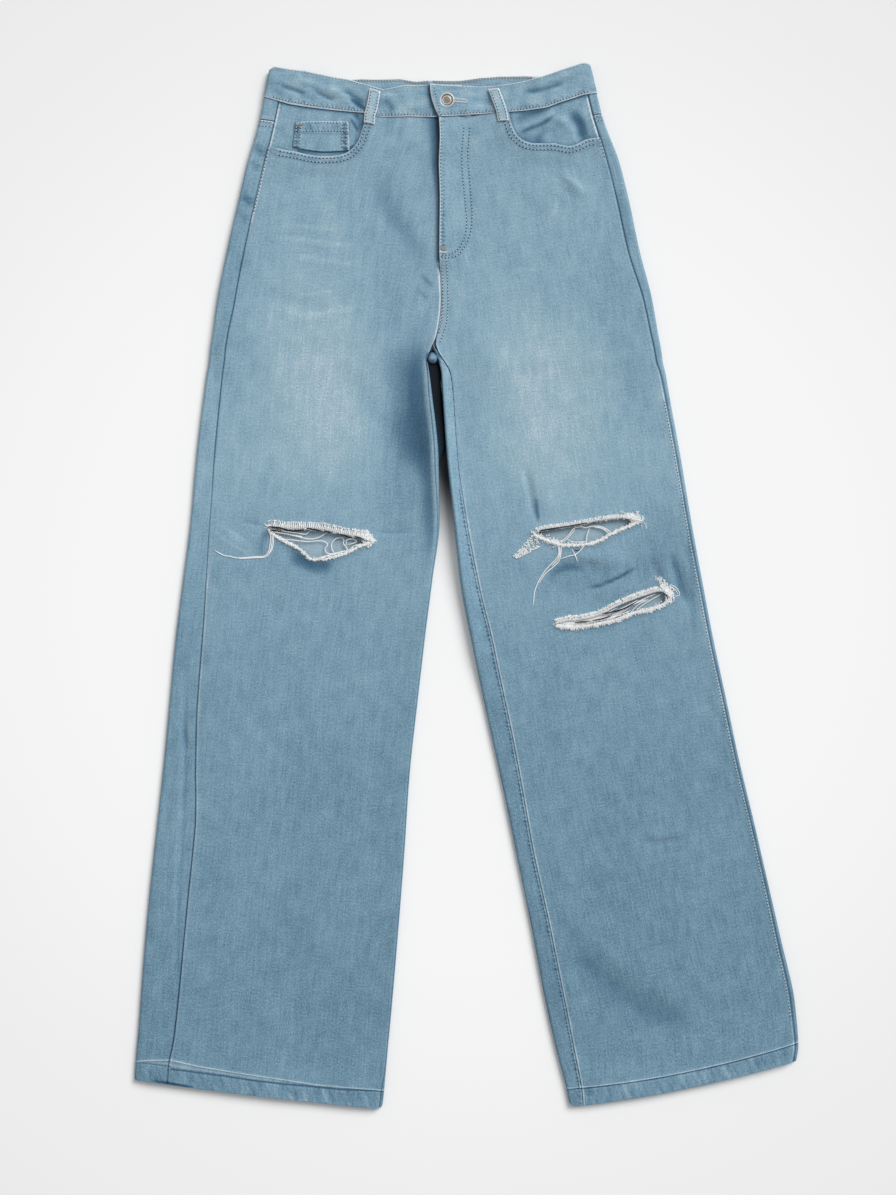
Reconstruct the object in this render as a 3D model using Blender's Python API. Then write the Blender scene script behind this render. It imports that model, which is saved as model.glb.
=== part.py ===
"""Ripped high-rise jeans with wide straight legs, laid flat on their back.

The garment lies on the plane z = 0, the waist towards +Y, the hems towards -Y and the
fronts up. Right and left are the wearer's, so the right leg lies on the -X side.

Every cloth piece is cut from one set of rings. A ring is the flattened tube of cloth at
one section of the trunk or of a leg: a flat run on the floor, a soft fold at each side and
a front run lying on top. A place on a ring is its distance along the cloth from the outer
fold, positive over the front and negative under the back. A place along the garment is a
level, the row number in the table of sections, whole or between two rows.
All tables are in millimetres; the meshes are in metres.
"""

import math
from collections import namedtuple

import bmesh
import bpy
from mathutils import Vector

MM = 0.001

# Cloth
WALL = 1.2                # one layer of denim
HEM_WALL = 2.6            # denim turned up twice at the hems
BAND_WALL = 2.4           # waistband, two layers
BAND_PROUD = 0.6          # waistband's outer face beyond the cloth it is sewn to
SEAM_GAP = 0.3            # between any two pieces
LAYER = WALL + SEAM_GAP   # step from one layer to the next one lying on it
FOLD_RADIUS = 3.1         # outer radius of the side folds
FOLD_BLEND = 26.0         # width over which a side fold sinks to the height between

# Front pockets, fly and yoke
MOUTH_SHARE = 0.58        # pocket mouth's part of the front's width at the waist
MOUTH_DEPTH = 44.0        # below the waistband, at the side
MOUTH_POWER = 3.0         # of the curve that rounds the mouth
FACING_UNDER = 9.0        # how far the facing goes on below the mouth's edge
MOUTH_LIFT = (0.35, 2 / 3)  # levels below the edge: the front rides on the facing, then sinks
LEVEL_PITCH = 33.0        # distance between the levels near the waist
FLY_UNDER = 14.0          # right front's extension under the fly
FLY_END, FLY_SUNK = 5.15, 5.6  # levels where that extension ends and the fly lies flat
YOKE_SIDE, YOKE_DROP = 1.7, 1.8  # level of the yoke seam at the side, further drop at the back

# Waistband, loops, pockets and button
BUTTON_END = 32.0         # waistband's right end, past the centre and under the lap
BUTTON_TUCK = 0.08        # levels by which that end stays above the seam
LAP_CLIMB = (1.7, 0.1)    # station where the lapped end starts to climb, and how fast
LAP_UNDERSIDE = 7.4       # height between the button end and the lapped end
LOOP_WIDTH = 11.5
LOOP_LEVELS = (-0.01, 0.25, 0.5, 0.75, 1.0, 1.18)
MOUTH_CLEAR = 0.9         # front loops' extra height, to clear the pocket mouths' edges
POCKET_WIDTH = 138.0
POCKET_DEPTH = 138.0
POCKET_POINT = 14.0
POCKET_TAPER = 12.0
POCKET_TOP = 416.0        # y of the back pockets' top edge
BUTTON_AT = (-20.5, 510.0)
BUTTON_RADIUS = 7.8
SHANK_RADIUS = 2.6

# Levels of the named sections
BAND_TOP, WAIST, YOKE, HIP, SEAT, FLY, LOW_HIP, RISE, FORK, CROTCH = range(10)

Section = namedtuple(
    "Section", "name outer_x outer_y inner_x inner_y sag outseam inseam lift height"
)
# outer: where the side fold is. inner: centre front, or below the fork the inner fold.
# sag: how far the row dips between them. outseam, inseam: the seams' distance in from the
# folds. lift: height of the back's cloth over the floor. height: of both layers together.
RIGHT = [
    Section("band top", -206, 544.5, -37, 525.5, 8.0, 15.0, 0, 2.1, 4.6),
    Section("waist", -212, 511.5, -29, 490, 4.5, 15.2, 0, 2.1, 4.6),
    Section("yoke", -219, 479, -28, 468, 2.0, 15.8, 0, 2.1, 4.6),
    Section("hip", -228.5, 447.5, -29, 442, 0, 17.5, 0, 1.5, 4.6),
    Section("seat", -238.5, 405.5, -28, 405, 0, 17.5, 0, 1.5, 4.6),
    Section("fly", -250.5, 353, -28.5, 353, 0, 18.0, 0, 1.5, 4.6),
    Section("low hip", -261, 300.5, -26.5, 300.5, 0, 18.5, 0, 1.5, 4.6),
    Section("rise", -266, 263.5, -31, 263.5, 0, 16.0, 0, 1.5, 4.8),
    Section("fork", -268.5, 248, -36.4, 248, 0, 16.0, 0.9, 1.0, 5.0),
    Section("crotch", -270, 237, -36.8, 237, 0, 16.0, 0, 0.6, 5.2),
    Section("upper thigh", -272, 224, -37.4, 224, 0, 16.5, 1.2, 0.3, 5.0),
    Section("thigh", -276, 195.5, -32, 195.5, 0, 17.5, 7.5, 0, 4.6),
    Section("low thigh", -283.5, 132.5, -28, 132.5, 0, 19.0, 4.2, 0, 4.4),
    Section("knee", -289, 69.5, -26.5, 69.5, 0, 20.0, 4.0, 0, 4.4),
    Section("below knee", -297, 6.5, -37.5, 6.5, 0, 24.0, 2.0, 0, 4.4),
    Section("upper shin", -305, -56.5, -44, -58.5, 0, 28.0, 1.2, 0, 4.4),
    Section("shin", -311, -119.5, -52, -128, 0, 29.0, 1.2, 0, 4.4),
    Section("low shin", -317, -183, -59.5, -196.5, 0, 33.0, 1.2, 0, 4.4),
    Section("calf", -325, -256.5, -65, -277.5, 0, 40.0, 1.2, 0, 4.4),
    Section("low calf", -333, -330, -71, -355, 0, 40.5, 1.2, 0, 4.4),
    Section("ankle", -339, -398, -77, -426.5, 0, 40.0, 1.2, 0, 4.4),
    Section("low ankle", -344, -466, -83.5, -496.5, 0, 38.0, 1.2, 0, 4.6),
    Section("hem line", -347, -500, -86.5, -530.5, 0, 35.0, 3.3, 0, 6.0),
    Section("hem", -348, -517.5, -88.5, -548, 0, 35.0, 3.3, 0, 6.0),
]
LEFT = [
    Section("band top", 129, 548, -37, 525.5, 9.5, 9.5, 0, 2.1, 4.6),
    Section("waist", 136.5, 514, -29, 490, 5.0, 9.5, 0, 2.1, 4.6),
    Section("yoke", 144.5, 485, -28, 469, 2.0, 9.5, 0, 2.1, 4.6),
    Section("hip", 159, 447.5, -29, 442, 0, 12.5, 0, 1.5, 4.6),
    Section("seat", 170, 405.5, -28, 405, 0, 13.0, 0, 1.5, 4.6),
    Section("fly", 181, 353, -28.5, 353, 0, 12.5, 0, 1.5, 4.6),
    Section("low hip", 194.5, 300.5, -26.5, 300.5, 0, 9.5, 0, 1.5, 4.6),
    Section("rise", 201, 263.5, -31, 263.5, 0, 8.0, 0, 1.5, 4.8),
    Section("fork", 204, 248, -35.8, 248, 0, 7.5, 0.9, 1.0, 5.0),
    Section("crotch", 206, 237, -35.2, 237, 0, 7.0, 0, 0.6, 5.2),
    Section("upper thigh", 208.5, 224, -29, 224, 0, 6.0, 1.2, 0.3, 5.0),
    Section("thigh", 213.5, 195.5, -25.5, 195.5, 0, 5.0, 12.0, 0, 4.6),
    Section("low thigh", 225, 132.5, -21.5, 132.5, 0, 4.7, 12.0, 0, 4.4),
    Section("knee", 235.5, 69.5, -17.5, 69.5, 0, 4.2, 17.5, 0, 4.4),
    Section("below knee", 247, 6.5, -8, 3, 0, 4.0, 20.5, 0, 4.4),
    Section("upper shin", 259, -56.5, 6.5, -65, 0, 4.0, 22.0, 0, 4.4),
    Section("shin", 272.5, -119.5, 21.5, -136.5, 0, 3.5, 22.0, 0, 4.4),
    Section("low shin", 286, -183, 37.5, -209, 0, 3.5, 20.0, 0, 4.4),
    Section("calf", 301, -245.5, 53, -284.5, 0, 3.5, 18.0, 0, 4.4),
    Section("low calf", 315.5, -308.5, 67.5, -355, 0, 3.5, 19.0, 0, 4.4),
    Section("ankle", 330, -371.5, 81.5, -429.5, 0, 4.5, 20.0, 0, 4.4),
    Section("low ankle", 344, -434.5, 94, -486, 0, 5.0, 18.5, 0, 4.6),
    Section("hem line", 348, -480, 105, -528.5, 0, 4.0, 16.0, 0, 6.0),
    Section("hem", 346, -497.5, 108, -545.5, 0, 4.0, 14.5, 0, 6.0),
]
HEM_LINE, HEM = len(RIGHT) - 2, len(RIGHT) - 1

Fold = namedtuple("Fold", "x1 y1 x2 y2 height width")
# The largest folds of the fronts, from end to end; a negative height is a trough.
FOLDS = [
    Fold(-60, 262, -120, 205, 1.0, 22),     # drag lines from the fork
    Fold(-12, 258, 50, 214, 1.0, 22),
    Fold(-70, 190, -52, 112, -0.9, 20),     # hollow along the right inner thigh
    Fold(58, 108, 70, 64, -1.0, 16),        # break over the left knee
    Fold(182, 20, 122, -4, 1.2, 20),        # ridges between the left leg's rips
    Fold(196, 24, 204, 6, -0.9, 14),
    Fold(104, -366, 140, -408, -1.0, 24),   # long hollow above the left hem
    Fold(140, -408, 250, -452, -1.0, 24),
    Fold(184, -269, 234, -264, 1.2, 18),    # break across the left shin
]

Rip = namedtuple("Rip", "x1 y1 x2 y2 bow_up bow_down lean")
# Each rip opens between its two ends, its upper edge bowed up and its lower edge bowed
# down; lean moves the widest place from the middle towards the second end.
RIPS = {
    "knee_rip_right": Rip(-209, 61, -101, 48, 3.0, 24.0, -0.02),
    "knee_rip_left": Rip(73, 54, 179, 69, 5.0, 15.0, -0.10),
    "shin_rip_left": Rip(98, -42, 210, -5, 2.0, 13.0, 0.16),
}
RIP_STEPS = 9

SIDES = {"right": RIGHT, "left": LEFT}
QUARTER = FOLD_RADIUS * math.pi / 2


def lerp(a, b, share):
    return a + (b - a) * share


def smooth(value):
    value = min(max(value, 0.0), 1.0)
    return value * value * (3 - 2 * value)


# Rings

def section_at(side, level):
    """The section at a level, worked out between two rows of the table."""
    rows = SIDES[side]
    low = min(int(math.floor(level + 1e-9)), len(rows) - 2)
    low = max(low, 0)
    share = level - low
    numbers = [lerp(a, b, share) for a, b in zip(rows[low][1:], rows[low + 1][1:])]
    return Section(rows[low].name, *numbers)


def ring_width(section):
    return math.hypot(section.inner_x - section.outer_x, section.inner_y - section.outer_y)


def along_cloth(inset):
    """Distance along the cloth from a fold's crest to a seam seen this far in from it."""
    if inset < FOLD_RADIUS:
        return FOLD_RADIUS * math.acos(1 - inset / FOLD_RADIUS)
    return QUARTER + inset - FOLD_RADIUS


def is_tube(level):
    """Below the fork each ring is a leg's, closed by an inner fold."""
    return level > RISE + 0.5


def outseam_place(section):
    return along_cloth(section.outseam)


def inner_crest(section):
    """Place of a leg ring's inner fold: half way round."""
    return ring_width(section) - 2 * FOLD_RADIUS + 2 * QUARTER


def front_edge(section, level):
    """Place where the front ends: at the centre front, or at the inseam."""
    if is_tube(level):
        return inner_crest(section) - along_cloth(section.inseam)
    return QUARTER + ring_width(section) - FOLD_RADIUS


def back_edge(section, level):
    """Place, counted along the back, where the back ends."""
    if is_tube(level):
        turn = along_cloth(section.inseam)
        return inner_crest(section) + (turn if level > FORK else -turn)
    return QUARTER + ring_width(section) - FOLD_RADIUS


def fold_relief(x, y):
    """Height that the large folds add to the front at a place."""
    total = 0.0
    for fold in FOLDS:
        run_x, run_y = fold.x2 - fold.x1, fold.y2 - fold.y1
        length = math.hypot(run_x, run_y)
        share = ((x - fold.x1) * run_x + (y - fold.y1) * run_y) / length ** 2
        off = abs((x - fold.x1) * run_y - (y - fold.y1) * run_x) / length
        if off < fold.width and -0.3 < share < 1.3:
            ends = smooth((share + 0.3) / 0.5) * smooth((1.3 - share) / 0.5)
            total += fold.height * ends * smooth(1 - off / fold.width)
    return total


def ring_point(side, level, place, depth):
    """Point of a ring, depth millimetres inside the cloth's outer face."""
    section = section_at(side, level)
    width = ring_width(section)
    radius = FOLD_RADIUS
    over = place > 0
    run = abs(place) - QUARTER
    tube = is_tube(level)
    past = run - (width - 2 * radius)
    if run < 0:
        angle = place / radius
        across = radius - (radius - depth) * math.cos(angle)
        height = radius + (radius - depth) * math.sin(angle)
    elif tube and 0 < past <= 2 * QUARTER:
        angle = (math.pi / 2 - past / radius) * (1 if over else -1)
        across = width - radius + (radius - depth) * math.cos(angle)
        height = radius + (radius - depth) * math.sin(angle)
    else:
        if tube and past > 0:
            run = width - 2 * radius - (past - 2 * QUARTER)
            over = not over
        across = radius + run
        height = top_height(section, across, width, tube) - depth if over else depth
    share = min(across / width, 1.0)
    x = lerp(section.outer_x, section.inner_x, across / width)
    y = lerp(section.outer_y, section.inner_y, share) - 4 * section.sag * share * (1 - share)
    if over and run > 0:
        height += fold_relief(x, y)
    return Vector((x, y, section.lift + height))


def top_height(section, across, width, tube):
    """Height of the front run: high at the folds, low between them."""
    sink = smooth((across - FOLD_RADIUS) / FOLD_BLEND)
    if tube:
        sink *= smooth((width - FOLD_RADIUS - across) / FOLD_BLEND)
    return lerp(2 * FOLD_RADIUS, section.height, sink)


# Meshes

def steps(count):
    return [i / count for i in range(count + 1)]


def cloth_piece(name, columns, rows, place, material):
    """A wall of cloth. place(column, row, face) is a point of its outer (0) or inner (1) face."""
    mesh = bpy.data.meshes.new(name)
    bm = bmesh.new()
    across = bm.verts.layers.int.new("across")
    along = bm.verts.layers.int.new("along")
    bmesh.ops.create_grid(bm, x_segments=len(columns) - 1, y_segments=len(rows) - 1, size=0.5)
    for vert in bm.verts:
        vert[across] = round((vert.co.x + 0.5) * (len(columns) - 1))
        vert[along] = round((vert.co.y + 0.5) * (len(rows) - 1))
    outside = list(bm.verts)
    made = bmesh.ops.extrude_face_region(bm, geom=list(bm.faces), use_keep_orig=True)
    inside = [item for item in made["geom"] if isinstance(item, bmesh.types.BMVert)]
    for face, verts in ((0, outside), (1, inside)):
        for vert in verts:
            vert.co = place(columns[vert[across]], rows[vert[along]], face) * MM
    bmesh.ops.recalc_face_normals(bm, faces=list(bm.faces))
    bm.to_mesh(mesh)
    bm.free()
    return add_object(name, mesh, material)


def add_object(name, mesh, material):
    piece = bpy.data.objects.new(name, mesh)
    bpy.context.collection.objects.link(piece)
    mesh.materials.append(material)
    mesh.shade_smooth()
    mesh.set_sharp_from_angle(angle=math.radians(40))
    return piece


def prism(name, outline, low, high, material):
    """An upright prism over an outline of (x, y) points."""
    mesh = bpy.data.meshes.new(name)
    bm = bmesh.new()
    floor = bm.faces.new([bm.verts.new((x * MM, y * MM, low * MM)) for x, y in outline])
    made = bmesh.ops.extrude_face_region(bm, geom=[floor], use_keep_orig=True)
    top = [item for item in made["geom"] if isinstance(item, bmesh.types.BMVert)]
    bmesh.ops.translate(bm, verts=top, vec=(0, 0, (high - low) * MM))
    bmesh.ops.recalc_face_normals(bm, faces=list(bm.faces))
    bm.to_mesh(mesh)
    bm.free()
    return add_object(name, mesh, material)


def cut(piece, cutter):
    """Cut a piece with a hidden wire cutter."""
    cutter.hide_render = True
    cutter.display_type = "WIRE"
    boolean = piece.modifiers.new(cutter.name, "BOOLEAN")
    boolean.operation = "DIFFERENCE"
    boolean.object = cutter


def finish(name, color, roughness, metallic=0.0):
    material = bpy.data.materials.new(name)
    material.use_nodes = True
    shader = material.node_tree.nodes["Principled BSDF"]
    shader.inputs["Base Color"].default_value = (*color, 1.0)
    shader.inputs["Roughness"].default_value = roughness
    shader.inputs["Metallic"].default_value = metallic
    return material


# Fronts, facings and coin pocket

def mouth_depth(share):
    """Depth of the pocket mouth below the waistband at a share of its width."""
    return MOUTH_DEPTH * (1 - min(share, 1.0) ** MOUTH_POWER) ** (1 / MOUTH_POWER)


def front_point(side, column, level, depth):
    """Point on a front by its column, 0 at the outseam and 1 at the inner edge."""
    section = section_at(side, level)
    start = outseam_place(section) + SEAM_GAP / 2
    end = front_edge(section, level) - SEAM_GAP / 2
    place = lerp(start, end, column)
    if side == "right" and column > FLY_COLUMNS[0] and level < FLY_END:
        tuck = (column - FLY_COLUMNS[0]) / (1 - FLY_COLUMNS[0])
        place += FLY_UNDER * tuck
    return ring_point(side, level, place, depth)


MOUTH_COLUMNS = [0, 0.2, 0.4, 0.6, 0.75, 0.87, 0.95, 1.0, 1.1]
FLY_COLUMNS = [0.9, 1.0]
FRONT_COLUMNS = [MOUTH_SHARE * t for t in MOUTH_COLUMNS] + [0.7, 0.8] + FLY_COLUMNS
FRONT_ROWS = [0, MOUTH_LIFT[0], MOUTH_LIFT[1]] + [
    float(level) for level in range(SEAT, FLY + 1)
] + [FLY_END, FLY_SUNK] + [float(level) for level in range(LOW_HIP, HEM_LINE)] + [
    HEM_LINE - 0.08, float(HEM_LINE), float(HEM),
]


def front(side, denim):
    """A front, from the waistband and the pocket mouth down to the hem."""

    def place(column, row, face):
        edge = WAIST
        if column < MOUTH_SHARE:
            edge += mouth_depth(column / MOUTH_SHARE) / LEVEL_PITCH
        level = edge + row if row < WAIST else row
        lift = 0.0
        if row <= MOUTH_LIFT[0] and column <= 0.7:
            lift = LAYER
        if side == "left" and column >= FLY_COLUMNS[0] and level <= FLY_END:
            lift = LAYER
        wall = HEM_WALL if level >= HEM_LINE else WALL
        return front_point(side, column, level, face * wall - lift)

    piece = cloth_piece("front_" + side, FRONT_COLUMNS, FRONT_ROWS, place, denim)
    for name, rip in RIPS.items():
        if name.endswith(side):
            cut(piece, prism("cutter_" + name, rip_outline(rip), -5, 30, denim))
    return piece


def rip_outline(rip):
    """Upper edge from the first end to the second, then the lower edge back again."""
    run_x, run_y = rip.x2 - rip.x1, rip.y2 - rip.y1
    length = math.hypot(run_x, run_y)
    power = math.log(0.5) / math.log(0.5 + rip.lean)
    outline = []
    for bow, order in ((rip.bow_up, 1), (-rip.bow_down, -1)):
        for share in steps(RIP_STEPS)[::order][:-1]:
            out = bow * math.sin(math.pi * share ** power)
            outline.append((rip.x1 + run_x * share - run_y / length * out,
                            rip.y1 + run_y * share + run_x / length * out))
    return outline


def facing(side, denim):
    """The denim behind a pocket mouth, sewn to the back at the outseam."""

    def place(column, row, face):
        deep = mouth_depth(column / MOUTH_SHARE) + FACING_UNDER
        level = WAIST + row * deep / LEVEL_PITCH
        return front_point(side, column, level, face * WALL)

    columns = [MOUTH_SHARE * t for t in MOUTH_COLUMNS]
    return cloth_piece("pocket_facing_" + side, columns, steps(4), place, denim)


def coin_pocket(denim):
    """The small pocket on the right facing, down to the mouth's edge."""

    def place(column, row, face):
        top = lerp(16.5, 9.5, (column - 0.2) / 0.55)
        bottom = mouth_depth(column) - SEAM_GAP
        level = WAIST + lerp(top, bottom, row) / LEVEL_PITCH
        return front_point("right", MOUTH_SHARE * column, level, face * WALL - LAYER)

    return cloth_piece("coin_pocket", [0.2, 0.4, 0.6, 0.75], steps(3), place, denim)


# Backs and yokes

def back_knots(side, level):
    """Places, counted along the back, of the ends of its stretches at one level."""
    section = section_at(side, level)
    start = SEAM_GAP / 2 - outseam_place(section)
    end = back_edge(section, level) - SEAM_GAP / 2
    turn = ring_width(section) - 2 * FOLD_RADIUS + QUARTER
    if not is_tube(level):
        turn = end - 14.0
    over = min(turn + 2 * QUARTER, lerp(turn, end, 0.8))
    return [start, -0.9 * QUARTER, QUARTER, turn, over, end]


BACK_STEPS = (2, 4, 5, 4, 2)   # columns of each stretch


def back_columns():
    """Column numbers: the stretch and the share of it."""
    columns = [(0, 0.0)]
    for stretch, count in enumerate(BACK_STEPS):
        columns += [(stretch, (i + 1) / count) for i in range(count)]
    return columns


def back_point(side, column, level, depth):
    stretch, share = column
    knots = back_knots(side, level)
    place = lerp(knots[stretch], knots[stretch + 1], share)
    return ring_point(side, level, -place, depth)


def yoke_level(column):
    """The yoke seam falls from the side towards the centre back."""
    stretch, share = column
    run = min(max(stretch + share - 2, 0.0), 1.0)
    return YOKE_SIDE + YOKE_DROP * run


def yoke(side, denim):
    def place(column, row, face):
        end = yoke_level(column) - SEAM_GAP / LEVEL_PITCH
        return back_point(side, column, lerp(WAIST, end, row), face * WALL)

    return cloth_piece("yoke_" + side, back_columns(), steps(2), place, denim)


def back(side, denim):
    """A back, from the yoke down, folded round both sides of the leg."""
    # The rows between the yoke and the seat cross the outseam at whole levels.
    upper = [(level - YOKE_SIDE) / (SEAT - YOKE_SIDE) for level in (YOKE_SIDE, YOKE, HIP)]
    rows = upper + [float(level) for level in range(SEAT, HEM_LINE)]
    rows += [HEM_LINE - 0.08, float(HEM_LINE), float(HEM)]

    def place(column, row, face):
        level = row
        if row < 1:
            level = lerp(yoke_level(column), SEAT, row)
        wall = HEM_WALL if level >= HEM_LINE else WALL
        return back_point(side, column, level, face * wall)

    return cloth_piece("back_" + side, back_columns(), rows, place, denim)


def back_pocket(side, denim):
    """A patch pocket under the back: a pentagon against the floor."""
    section = section_at(side, SEAT)
    middle = lerp(section.outer_x, section.inner_x, 0.5)

    def place(column, row, face):
        x = middle + (column - 0.5) * (POCKET_WIDTH - POCKET_TAPER * row)
        bottom = POCKET_DEPTH + POCKET_POINT * (1 - abs(2 * column - 1))
        z = section.lift - SEAM_GAP - face * WALL
        return Vector((x, POCKET_TOP - row * bottom, z))

    return cloth_piece("back_pocket_" + side, steps(4), steps(2), place, denim)


# Waistband, loops and button

RUN_STATIONS = (0.9, 0.8, 0.7, 0.55, 0.38, 0.2, 0.08)
TURN_STATIONS = (1.0, 0.67, 0.33, 0.0, -0.33, -0.67, -1.0)


def band_place(side, level, station):
    """Place of a station: 1 to -1 goes round the outer fold, 2 is the centre front and
    -2 the centre back."""
    if abs(station) <= 1:
        return station * QUARTER
    centre = front_edge(section_at(side, level), level)
    return math.copysign(lerp(QUARTER, centre, abs(station) - 1), station)


def waistband(denim):
    """One strip: the right end carries the button and lies under the left end."""
    front_half = [2.0] + [1 + share for share in RUN_STATIONS]
    back_half = [-1 - share for share in reversed(RUN_STATIONS)]
    half = front_half + list(TURN_STATIONS) + back_half
    run = front_edge(section_at("right", WAIST), WAIST) - QUARTER
    ring = [("right", 2 + BUTTON_END / run)] + [("right", station) for station in half]
    ring += [("right", -2.0)] + [("left", station) for station in reversed(half)]

    def place(column, row, face):
        side, station = column
        bottom = WAIST - SEAM_GAP / LEVEL_PITCH
        if station > 2:
            bottom -= BUTTON_TUCK
        climb = 0.0
        if side == "left":
            climb = (BAND_WALL + SEAM_GAP) * smooth((station - LAP_CLIMB[0]) / LAP_CLIMB[1])
        level = lerp(BAND_TOP, bottom, row)
        depth = face * BAND_WALL - BAND_PROUD - climb
        return ring_point(side, level, band_place(side, level, station), depth)

    band = cloth_piece("waistband", ring, steps(3), place, denim)
    cut(band, prism("cutter_buttonhole", keyhole_outline(), LAP_UNDERSIDE, 30, denim))
    return band


def keyhole_outline():
    """A round eye for the shank, running out into a narrow slot."""
    x, y = BUTTON_AT
    eye, slot, length = SHANK_RADIUS + 0.6, 1.2, 18.0
    opening = math.asin(slot / eye)
    turns = [lerp(opening, 2 * math.pi - opening, i / 12) for i in range(13)]
    outline = [(x + eye * math.cos(turn), y + eye * math.sin(turn)) for turn in turns]
    return outline + [(x + length, y - slot), (x + length, y + slot)]


Loop = namedtuple("Loop", "name side top_share bottom_share")
LOOPS = [
    Loop("belt_loop_front_right", "right", 0.66, 0.61),
    Loop("belt_loop_front_left", "left", 0.60, 0.59),
    Loop("belt_loop_back_right", "right", -0.52, -0.52),
    Loop("belt_loop_back_left", "left", -0.52, -0.52),
    Loop("belt_loop_back_centre", "right", -1.0, -1.0),
]


def belt_loop(loop, denim):
    """A strip flat over the waistband, its tail on the cloth below."""
    stand = LAYER + BAND_PROUD + (MOUTH_CLEAR if loop.top_share > 0 else 0)

    def place(column, row, face):
        centre = front_edge(section_at(loop.side, row), row)
        share = lerp(loop.top_share, loop.bottom_share, max(row, 0.0))
        off = (column - 0.5) * LOOP_WIDTH
        return ring_point(loop.side, row, share * centre + off, face * WALL - stand)

    return cloth_piece(loop.name, steps(1), LOOP_LEVELS, place, denim)


def button(metal):
    """A shank button: a domed cap with a rim, on a post through the buttonhole."""
    section = section_at("right", 0.5)
    seat = section.lift + section.height + BAND_PROUD + SEAM_GAP
    cap = seat + BAND_WALL + 2 * SEAM_GAP
    profile = [
        (0, seat), (SHANK_RADIUS, seat), (SHANK_RADIUS, cap), (BUTTON_RADIUS - 0.4, cap),
        (BUTTON_RADIUS, cap + 0.5), (BUTTON_RADIUS, cap + 1.2), (BUTTON_RADIUS - 0.7, cap + 1.7),
        (BUTTON_RADIUS - 2.2, cap + 1.3), (BUTTON_RADIUS - 3.4, cap + 1.5), (0, cap + 1.8),
    ]
    mesh = bpy.data.meshes.new("button")
    bm = bmesh.new()
    verts = [bm.verts.new((radius * MM, 0, z * MM)) for radius, z in profile]
    edges = [bm.edges.new(pair) for pair in zip(verts, verts[1:])]
    bmesh.ops.spin(bm, geom=verts + edges, axis=(0, 0, 1), cent=(0, 0, 0),
                   angle=2 * math.pi, steps=24, use_merge=True)
    bmesh.ops.remove_doubles(bm, verts=list(bm.verts), dist=1e-6)
    bmesh.ops.recalc_face_normals(bm, faces=list(bm.faces))
    bm.to_mesh(mesh)
    bm.free()
    piece = add_object("button", mesh, metal)
    piece.location = (BUTTON_AT[0] * MM, BUTTON_AT[1] * MM, 0)
    return piece


def build():
    for old in list(bpy.data.objects):
        bpy.data.objects.remove(old)
    faded = finish("faded denim", (0.30, 0.42, 0.50), 0.9)
    denim = finish("denim", (0.19, 0.29, 0.37), 0.9)
    band_denim = finish("waistband denim", (0.23, 0.34, 0.43), 0.88)
    metal = finish("button metal", (0.55, 0.53, 0.50), 0.35, 1.0)
    for side in SIDES:
        front(side, faded)
        facing(side, denim)
        back(side, denim)
        yoke(side, denim)
        back_pocket(side, denim)
    coin_pocket(denim)
    waistband(band_denim)
    for loop in LOOPS:
        belt_loop(loop, band_denim)
    button(metal)


build()
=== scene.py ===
"""Ripped high-rise jeans with wide straight legs, laid flat on their back.

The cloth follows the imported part's own rings: a ring is the flattened tube of cloth at one
section of the trunk or of a leg. A place on a ring is its distance along the cloth from the
outer fold, positive over the front and negative under the back. A level is a row number in
the table of sections, whole or between two rows. Right and left are the wearer's, so the
right leg lies on the -X side. Sizes are in millimetres until a mesh is made.
"""

import math
import random
from collections import namedtuple

import bmesh
import bpy
import numpy as np
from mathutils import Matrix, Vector
from mathutils.bvhtree import BVHTree


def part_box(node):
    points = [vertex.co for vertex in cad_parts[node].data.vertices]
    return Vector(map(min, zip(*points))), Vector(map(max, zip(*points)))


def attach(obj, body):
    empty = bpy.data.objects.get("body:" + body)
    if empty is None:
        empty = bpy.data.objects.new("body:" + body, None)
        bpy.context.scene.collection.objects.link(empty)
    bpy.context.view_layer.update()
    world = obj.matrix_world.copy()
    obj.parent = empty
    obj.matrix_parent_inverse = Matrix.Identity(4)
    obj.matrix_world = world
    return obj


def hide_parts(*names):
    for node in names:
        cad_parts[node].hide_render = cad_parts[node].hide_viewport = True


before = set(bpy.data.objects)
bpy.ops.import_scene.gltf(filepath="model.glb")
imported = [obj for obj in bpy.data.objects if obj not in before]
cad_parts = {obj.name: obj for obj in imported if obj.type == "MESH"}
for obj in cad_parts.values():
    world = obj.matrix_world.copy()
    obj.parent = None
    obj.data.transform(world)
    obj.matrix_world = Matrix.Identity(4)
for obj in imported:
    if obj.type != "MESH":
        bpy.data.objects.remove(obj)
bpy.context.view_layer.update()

MM = 0.001

# Cloth
WALL = 1.1                # one layer of denim
HEM_WALL = 2.4            # denim turned up twice
BAND_WALL = 2.2           # waistband, two layers
BAND_PROUD = 0.6          # waistband's outer face beyond the cloth it is sewn to
SEAM_GAP = 0.2            # between two pieces sewn edge to edge
LAYER = 1.5               # step from one layer to the next one lying on it
FOLD_RADIUS = 3.1         # of the side folds
FOLD_BLEND = 26.0         # width over which a side fold sinks to the height between
QUARTER = FOLD_RADIUS * math.pi / 2
SOFTNESS = 0.9            # extra height of the fronts between their folds
LEVEL_PITCH = 33.0        # between two levels near the waist
FAR = 1e9                 # further than any edge
FRONT, BACK = 1, -1       # which way from the outer fold
AWAY = {"right": 1, "left": -1}     # which way the cloth's own place runs, as seen from above
DEEPEST = 1.9             # shade

# Front pockets, fly and yoke
FACING_UNDER = 12.0       # how far the facing goes on below the mouth's edge
FLY_UNDER = 14.0          # right front's extension under the fly
FLY_SHARE = 0.9           # where it starts, as a share of the front's width
FLY_END, FLY_SUNK = 5.15, 5.6       # levels where it ends, and where it has tapered away
YOKE_SIDE, YOKE_DROP = 1.7, 1.8     # level of the yoke's seam at the side, and how far it falls

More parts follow.
